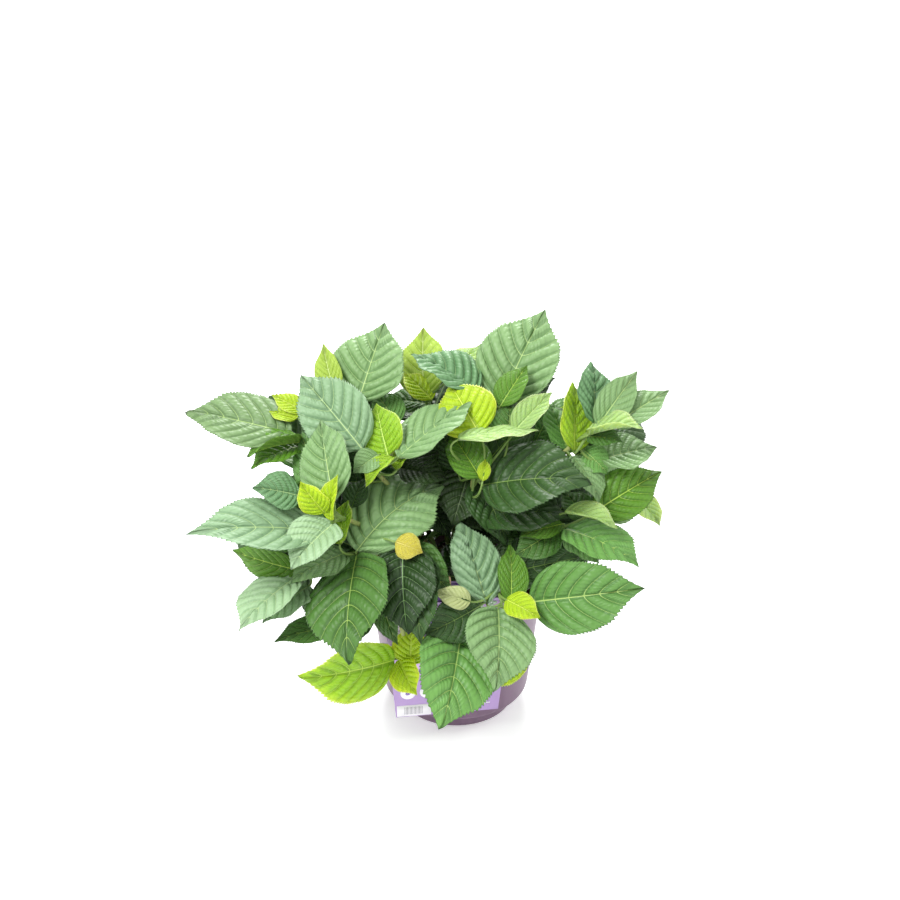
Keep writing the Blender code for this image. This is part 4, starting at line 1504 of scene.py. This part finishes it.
def build_canes(finish):
    """Canes with a swelling at each node and low lumps of bark between, in place of their solids."""
    for name in SHOOTS:
        path = cane_path(name, 80)
        keep = np.linalg.norm(path - path[-1], axis=1) > CANE_STOPS
        path = path[: int(np.nonzero(keep)[0].max()) + 1]
        path[0][2] = SOIL_HEIGHT - CANE_SUNK
        run = np.concatenate(((0.0,), np.cumsum(np.linalg.norm(np.diff(path, axis=0), axis=1))))
        radius = CANE_FOOT_RADIUS + (CANE_TIP_RADIUS - CANE_FOOT_RADIUS) * run / run[-1]
        swell = np.exp(-(((run % NODE_SPACING) - NODE_SPACING * 0.5) / NODE_WIDTH) ** 2)
        cane = drawn_bar("bark_" + name, path, radius * (1.0 + NODE_SWELL * swell))
        lumps(cane, BARK_LUMP, BARK_RELIEF)
        cane.data.materials.append(finish)
        shaded(cane, 60.0)
        belongs(cane, "cane", "cane_" + name)


# Pot, compost, card and peg.

def wall_radius(height):
    """The pot's outer radius between its shoulder and its lip."""
    top = RIM_RADIUS - LIP_WIDTH
    share = (height - SHOULDER_HEIGHT) / (POT_HEIGHT - LIP_DEPTH - SHOULDER_HEIGHT)
    return SHOULDER_RADIUS + (top - SHOULDER_RADIUS) * share


def build_pot(finish):
    """The pot as one spun wall: a rounded lip, a tapering side, a shoulder and a narrower foot."""
    lip = POT_HEIGHT - LIP_DEPTH
    outer = [
        (RIM_RADIUS - WALL - 1.6, POT_HEIGHT - 0.5),
        (RIM_RADIUS - 1.9, POT_HEIGHT),
        (RIM_RADIUS - 0.9, POT_HEIGHT - 0.2),
        (RIM_RADIUS - 0.2, POT_HEIGHT - 0.9),
        (RIM_RADIUS, POT_HEIGHT - 1.9),
        (RIM_RADIUS, lip + 1.5),
        (RIM_RADIUS - 0.3, lip + LIP_EDGE),
        (RIM_RADIUS - 1.1, lip + 0.3),
        (wall_radius(lip) + 0.2, lip + 0.1),
        (wall_radius(lip) - 0.05, lip - 0.7),
        (wall_radius(SHOULDER_HEIGHT + 3.0), SHOULDER_HEIGHT + 3.0),
        (SHOULDER_RADIUS, SHOULDER_HEIGHT + 1.0),
        (SHOULDER_RADIUS - 0.35, SHOULDER_HEIGHT - 0.6),
        (SHOULDER_RADIUS - EDGE, SHOULDER_HEIGHT - 1.8),
        (FOOT_TOP_RADIUS + 2.0, SHOULDER_HEIGHT - 2.7),
        (FOOT_TOP_RADIUS, SHOULDER_HEIGHT - 4.0),
        (FOOT_RADIUS + 0.1, 1.6),
        (FOOT_RADIUS - 0.3, 0.6),
        (FOOT_RADIUS - EDGE, 0.05),
        (FOOT_RADIUS - 6.0, 0.0),
        (FOOT_RADIUS - 8.0, 1.0),
        (0.0, 1.0),
    ]
    inner = [
        (0.0, FLOOR),
        (FOOT_RADIUS - WALL, FLOOR),
        (FOOT_TOP_RADIUS - WALL, SHOULDER_HEIGHT - 1.0),
        (SHOULDER_RADIUS - WALL * 2.0, SHOULDER_HEIGHT + 0.4),
        (SHOULDER_RADIUS - WALL, SHOULDER_HEIGHT + 2.4),
        (wall_radius(lip) - WALL, lip),
        (RIM_RADIUS - WALL - 2.0, POT_HEIGHT - 2.0),
    ]
    pot = spun("pot_shell", inner + outer, 128)
    pot.data.materials.append(finish)
    shaded(pot, 38.0)
    return belongs(pot, "pot_plastic", "pot")


def build_compost(finish):
    """The root ball: tapered sides, and a lumpy top that sinks a little at the wall."""
    radius, height = BALL_SIDE[0]
    ball = primitive("circle", "compost", vertices=BALL_CORNERS, radius=radius * MM, fill_type="NGON")
    bpy.ops.transform.translate(value=(0.0, 0.0, height * MM))
    for next_radius, next_height in BALL_SIDE[1:]:
        extrude(z=next_height - height)
        wider = next_radius / radius
        bpy.ops.transform.resize(value=(wider, wider, 1.0), center_override=(0.0, 0.0, next_height * MM))
        radius, height = next_radius, next_height
    for ring in range(BALL_RINGS):
        step = BALL_SINK * MM if ring == 0 else 0.0
        bpy.ops.mesh.inset(thickness=SOIL_RADIUS / (BALL_RINGS + 1) * MM, depth=step)
    bpy.ops.mesh.poke()
    closed(ball)
    above = (height + BALL_SINK * 0.5) * MM
    top = ball.vertex_groups.new(name="top")
    top.add([vert.index for vert in ball.data.vertices if vert.co.z > above], 1.0, "ADD")
    modified(ball, "SUBSURF", subdivision_type="SIMPLE", levels=1, render_levels=1)
    lumps(ball, CLOD_SIZE, CLOD_HEIGHT, "Z", "top")
    lumps(ball, GRAIN_SIZE, GRAIN_HEIGHT, "Z", "top")
    ball.data.materials.append(finish)
    shaded(ball, 60.0)
    return belongs(ball, "compost", "root_ball")


def as_arrays(obj):
    """A modelled piece's points in millimetres and its triangles, for copies; the piece itself is removed."""
    active(obj)
    bpy.ops.object.mode_set(mode="EDIT")
    bpy.ops.mesh.select_all(action="SELECT")
    bpy.ops.mesh.quads_convert_to_tris()
    bpy.ops.object.mode_set(mode="OBJECT")
    points = np.array([vert.co[:] for vert in obj.data.vertices]) / MM
    triangles = np.array([face.vertices[:] for face in obj.data.polygons])
    bpy.data.objects.remove(obj, do_unlink=True)
    return points, triangles


def build_crumbs(finishes, ball, rng):
    """Bark chips, peat crumbs and pale grit that lie on the compost: one crumb, copied in many sizes."""
    crumb = primitive("ico_sphere", "crumb", subdivisions=1, radius=MM)
    bpy.ops.transform.resize(value=(1.0, 0.8, 0.6))
    shape, faces = as_arrays(closed(crumb))
    batch = Batch()
    for number in range(CRUMBS):
        radius = CRUMB_REACH * math.sqrt(rng.uniform(0, 1))
        angle = rng.uniform(0, math.tau)
        x, y = radius * math.cos(angle), radius * math.sin(angle)
        grit = number % GRIT_EVERY == 0
        kind = 2 if grit else int(rng.integers(2))
        size = rng.uniform(*(GRIT_SIZE if grit else CRUMB_SIZE))
        long = 1.0 if grit else rng.uniform(*CRUMB_LONG)
        stretch = np.array((long, rng.uniform(*CRUMB_WIDE), rng.uniform(*CRUMB_THICK)))
        turn = Matrix.Rotation(rng.uniform(0, math.tau), 3, "Z")
        turn = turn @ Matrix.Rotation(rng.uniform(-CRUMB_TILT, CRUMB_TILT), 3, "X")
        uneven = 1.0 + CRUMB_UNEVEN * rng.standard_normal((len(shape), 1)).clip(-1, 1)
        points = (shape * uneven * stretch * size) @ np.array(turn).T
        above = Vector((x * MM, y * MM, POT_HEIGHT * 2.0 * MM))
        lies = ball.ray_cast(above, Vector((0.0, 0.0, -1.0)))[1]
        points = points + np.array((x, y, lies[2] / MM + size * CRUMB_SUNK))
        batch.add(points, faces, np.full(len(faces), kind), finishes)
    return belongs(batch.piece("compost_crumbs"), "compost")


def card_axes():
    """Foot point of the card's back, directions across and up, and its face's normal."""
    turn = math.radians(CARD_TURN)
    lean = math.radians(CARD_LEAN)
    normal = np.array((math.sin(turn), -math.cos(turn), 0.0))
    across = np.array((math.cos(turn), math.sin(turn), 0.0))
    up = np.array((0.0, 0.0, 1.0)) * math.cos(lean) + normal * math.sin(lean)
    face = normal * math.cos(lean) - np.array((0.0, 0.0, 1.0)) * math.sin(lean)
    touch = POT_HEIGHT - LIP_DEPTH + LIP_EDGE
    distance = RIM_RADIUS + CARD_GAP - (touch - CARD_FOOT) * math.tan(lean)
    foot = normal * distance + across * CARD_SHIFT + np.array((0.0, 0.0, CARD_FOOT))
    return foot, across, up, face


def against_pot(obj):
    """Stand a piece that was made lying flat, across and up, in the card's place."""
    foot, across, up, face = card_axes()
    turn = Matrix((across, up, face)).transposed().to_4x4()
    obj.data.transform(Matrix.Translation(Vector(foot * MM)) @ turn)
    return obj


def card_half_width(height):
    """Half the card's width at a height up it."""
    if height <= CARD_SIDE:
        return (CARD_BOTTOM + (CARD_SHOULDER - CARD_BOTTOM) * height / CARD_SIDE) * 0.5
    rise = (height - CARD_SIDE) / CARD_ARCH
    return CARD_SHOULDER * 0.5 * math.sqrt(max(0.0, 1.0 - rise * rise))


def card_shape(name):
    """The card's outline lying flat: a sheet that widens to its shoulders, with an arch above."""
    obj = primitive("plane", name, size=1.0)
    bpy.ops.transform.resize(value=(CARD_BOTTOM * MM, CARD_SIDE * MM, 1.0), center_override=(0.0, 0.0, 0.0))
    bpy.ops.transform.translate(value=(0.0, CARD_SIDE * 0.5 * MM, 0.0))
    select_where(obj, lambda place: place.y > CARD_SIDE * 0.5 * MM)
    wider = CARD_SHOULDER / CARD_BOTTOM
    bpy.ops.transform.resize(value=(wider, 1.0, 1.0), center_override=(0.0, CARD_SIDE * MM, 0.0))
    height = CARD_SIDE
    for step in range(1, ARCH_STEPS + 1):
        # The last step stops just short of the crown, where the card would have no width.
        share = min(step, ARCH_STEPS - 0.05) / ARCH_STEPS
        next_height = CARD_SIDE + CARD_ARCH * math.sin(math.pi * 0.5 * share)
        wider = card_half_width(next_height) / card_half_width(height)
        extrude(y=next_height - height)
        bpy.ops.transform.resize(value=(wider, 1.0, 1.0), center_override=(0.0, next_height * MM, 0.0))
        height = next_height
    return obj


def ink_field(low, high, margin):
    """A printed field of the card between two heights, kept clear of the card's edge."""
    field = card_shape("field")
    for height, inner in ((low, True), (high, False)):
        bpy.ops.mesh.select_all(action="SELECT")
        bpy.ops.mesh.bisect(
            plane_co=(0.0, height * MM, 0.0),
            plane_no=(0.0, 1.0, 0.0),
            clear_inner=inner,
            clear_outer=not inner,
        )
    bpy.ops.mesh.select_all(action="SELECT")
    bpy.ops.mesh.inset(thickness=margin * MM, use_select_inset=True)
    bpy.ops.mesh.delete(type="FACE")
    bpy.ops.mesh.select_all(action="SELECT")
    extrude(z=INK)
    return as_arrays(closed(field))


def ink_disc(sides):
    """A round printed mark, a millimetre in radius, lying flat."""
    disc = primitive("circle", "disc", vertices=sides, radius=MM, fill_type="TRIFAN")
    extrude(z=INK)
    return as_arrays(closed(disc))


def ink_bar():
    """A square printed mark, a millimetre a side, lying flat."""
    bar = primitive("plane", "bar", size=MM)
    extrude(z=INK)
    return as_arrays(closed(bar))


def build_card(rng):
    """A blank label: lilac card with plain blossoms, a bare band, five white discs and a barred sticker."""
    inks = {}
    for name, colour, roughness, coat in (
        ("lilac", "#A688BE", 0.38, 0.3),
        ("violet", "#7B5AA6", 0.36, 0.3),
        ("mauve", "#C9A6D8", 0.38, 0.3),
        ("blush", "#E6D3EA", 0.4, 0.3),
        ("sage", "#8FA98A", 0.4, 0.3),
        ("white", "#F1EEF3", 0.42, 0.2),
    ):
        label = "card_" + name + "_print"
        inks[name] = plain_material(label, colour, roughness, Coat_Weight=coat, Coat_Roughness=0.2)
    inks["grey"] = plain_material("card_grey_print", "#8E8A94", 0.5)
    sheet = closed(card_shape("label_sheet"))
    modified(sheet, "SOLIDIFY", thickness=CARD_THICKNESS * MM, offset=1.0)
    modified(sheet, "BEVEL", width=CARD_ROUND * MM, segments=2, limit_method="ANGLE")
    sheet.data.materials.append(inks["lilac"])
    belongs(against_pot(shaded(sheet)), "card", "label_card")
    layer = Batch()

    def ink(shape, name, level, x=0.0, y=0.0, wide=1.0, tall=1.0, turn=0.0):
        points, triangles = shape
        across, up = points[:, 0] * wide, points[:, 1] * tall
        laid = np.stack(
            (
                x + across * math.cos(turn) - up * math.sin(turn),
                y + across * math.sin(turn) + up * math.cos(turn),
                CARD_THICKNESS - 0.5 * INK + points[:, 2] + INK_STEP * (level - 1),
            ),
            axis=-1,
        )
        layer.add(laid, triangles, np.zeros(len(triangles), int), (inks[name],))

    petal, disc, bar = ink_disc(10), ink_disc(32), ink_bar()
    low, high = BLOSSOM_FIELD
    ink(ink_field(low, high, FIELD_MARGIN), "mauve", 1)
    for number in range(BLOSSOM_TRIES):
        y = rng.uniform(low + BLOSSOM_CLEAR, high - BLOSSOM_CLEAR)
        x = rng.uniform(-BLOSSOM_SPREAD, BLOSSOM_SPREAD)
        size = rng.uniform(*BLOSSOM_SIZE)
        edge = size * 2.0 + BLOSSOM_CLEAR
        if abs(x) > card_half_width(y) - edge or y > CARD_SIDE + CARD_ARCH - edge:
            continue
        name = ("violet", "blush", "lilac", "sage", "blush", "violet")[int(rng.integers(6))]
        turn = rng.uniform(0, 1.5)
        for side in range(4):
            angle = turn + side * math.pi / 2
            out = size * PETAL_OUT
            ink(petal, name, 2 + number * 0.01, x + out * math.cos(angle), y + out * math.sin(angle),
                size * PETAL_LONG, size * PETAL_WIDE, angle)
        ink(petal, "white", 4, x, y, size * BLOSSOM_EYE, size * BLOSSOM_EYE)
    half = card_half_width(BAND_WIDE_AT) - FIELD_MARGIN
    ink(bar, "lilac", 5, 0.0, BAND_MIDDLE, half * 2.0, BAND_HEIGHT)
    ink(ink_field(high + FIELD_GAP, CARD_SIDE + CARD_ARCH, ARCH_MARGIN), "violet", 1)
    for step in range(5):
        x = DISC_FIRST + step * DISC_STEP
        ink(disc, "white", 2, x, DISC_HEIGHT, DISC_RADIUS, DISC_RADIUS)
        ink(disc, "sage" if step % 2 else "violet", 3, x, DISC_HEIGHT, *DISC_MARK, 0.6 + step)
    ink(bar, "white", 2, *STICKER)
    for step in range(STICKER_BARS):
        wide = WIDE_BAR if step % 3 else THIN_BAR
        ink(bar, "grey", 3, BAR_FIRST + step * BAR_STEP + wide * 0.5, STICKER[1], wide, BAR_HEIGHT)
    ink(bar, "white", 2, *STRIPE)
    return belongs(against_pot(layer.piece("label_print")), "card")


def build_peg():
    """A moulded hook over the card's arch, on a stem that stands in the compost."""
    foot, across, up, face = card_axes()
    crown = foot + up * (CARD_SIDE + CARD_ARCH)
    behind = crown - face * (PEG_RADIUS + PEG_GAP)
    before = crown + face * (CARD_THICKNESS + PEG_RADIUS + PEG_GAP)
    above = PEG_RADIUS + PEG_GAP * 4.0
    outward = unit(np.array((face[0], face[1], 0.0)))
    ground = outward * PEG_FOOT + across * CARD_SHIFT
    ground[2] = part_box("peg")[0][2] / MM + PEG_GAP
    points = [ground, (ground + behind) * 0.5]
    points += [behind - up * PEG_STRAIGHT, behind - up * PEG_SHOULDER, behind + up * above * 0.5]
    middle = (behind + before) * 0.5
    for step in range(1, PEG_TURNS):
        angle = math.pi * step / PEG_TURNS
        swing = (before - behind) * (-0.5 * math.cos(angle))
        points.append(middle + swing + up * (above * 0.5 + PEG_HOOK * math.sin(angle)))
    points += [before + up * above * 0.5, before - up * PEG_SHOULDER]
    points += [before - up * (PEG_DROP - PEG_TIP), before - up * PEG_DROP]
    radii = [PEG_RADIUS] * (len(points) - 1) + [PEG_RADIUS * PEG_NARROWED]
    peg = drawn_bar("peg_hook", points, radii)
    peg.data.materials.append(plain_material("moulded_beige_plastic", "#C9AE86", 0.5, 2.0, 0.05))
    shaded(peg, 50.0)
    return belongs(peg, "peg", "peg")


def build_stage():
    """A white table that glows a little, as over a light box, and broad soft lamps."""
    bpy.ops.mesh.primitive_plane_add(size=TABLE_SIDE, location=(0.0, 0.0, -0.5 * MM))
    floor = bpy.context.object
    floor.name = "white_table"
    white = linear("#FFFFFF")
    glow = {"Emission_Color": white, "Emission_Strength": TABLE_GLOW}
    floor.data.materials.append(new_material("white_table", 0.7, "#F4F5F6", **glow)[0])
    world = bpy.data.worlds.new("studio")
    bpy.context.scene.world = world
    world.use_nodes = True
    surround = world.node_tree.nodes["Background"]
    surround.inputs["Color"].default_value = white
    surround.inputs["Strength"].default_value = SURROUND
    for name, (place, size, power) in LAMPS.items():
        data = bpy.data.lights.new(name, "AREA")
        data.shape = "DISK"
        data.size = size
        data.energy = power
        lamp = link(bpy.data.objects.new(name, data))
        lamp.location = place
        aim = Vector(LAMP_AIM) - Vector(place)
        lamp.rotation_euler = aim.to_track_quat("-Z", "Y").to_euler()


def build_camera():
    """A long lens that looks down on the crown, and plain colour handling."""
    data = bpy.data.cameras.new("camera")
    data.lens = LENS
    data.sensor_width = SENSOR
    data.sensor_fit = "HORIZONTAL"
    data.clip_end = 30.0
    camera = link(bpy.data.objects.new("camera", data))
    camera.location = CAMERA_PLACE
    camera.rotation_euler = (math.radians(CAMERA_PITCH), 0.0, 0.0)
    bpy.context.scene.camera = camera
    bpy.context.scene.view_settings.view_transform = "Standard"


def main():
    deselect()
    build_camera()
    build_stage()
    build_pot(pot_material())
    ball = build_compost(compost_material("peat_compost", "#2B1D17", "#5E4436", 3.0))
    build_crumbs(
        (
            compost_material("bark_chip", "#4A2E22", "#7C5440", 4.0),
            compost_material("peat_crumb", "#33231B", "#57402F", 2.5),
            plain_material("pale_grit", "#D9D3C6", 0.8, 0.6, 0.1),
        ),
        ball,
        np.random.default_rng(SEED + 1),
    )
    build_card(np.random.default_rng(SEED + 2))
    build_peg()
    build_canes(bark_material())
    build_leaves(leaf_materials(), stalk_material(), np.random.default_rng(SEED))


main()
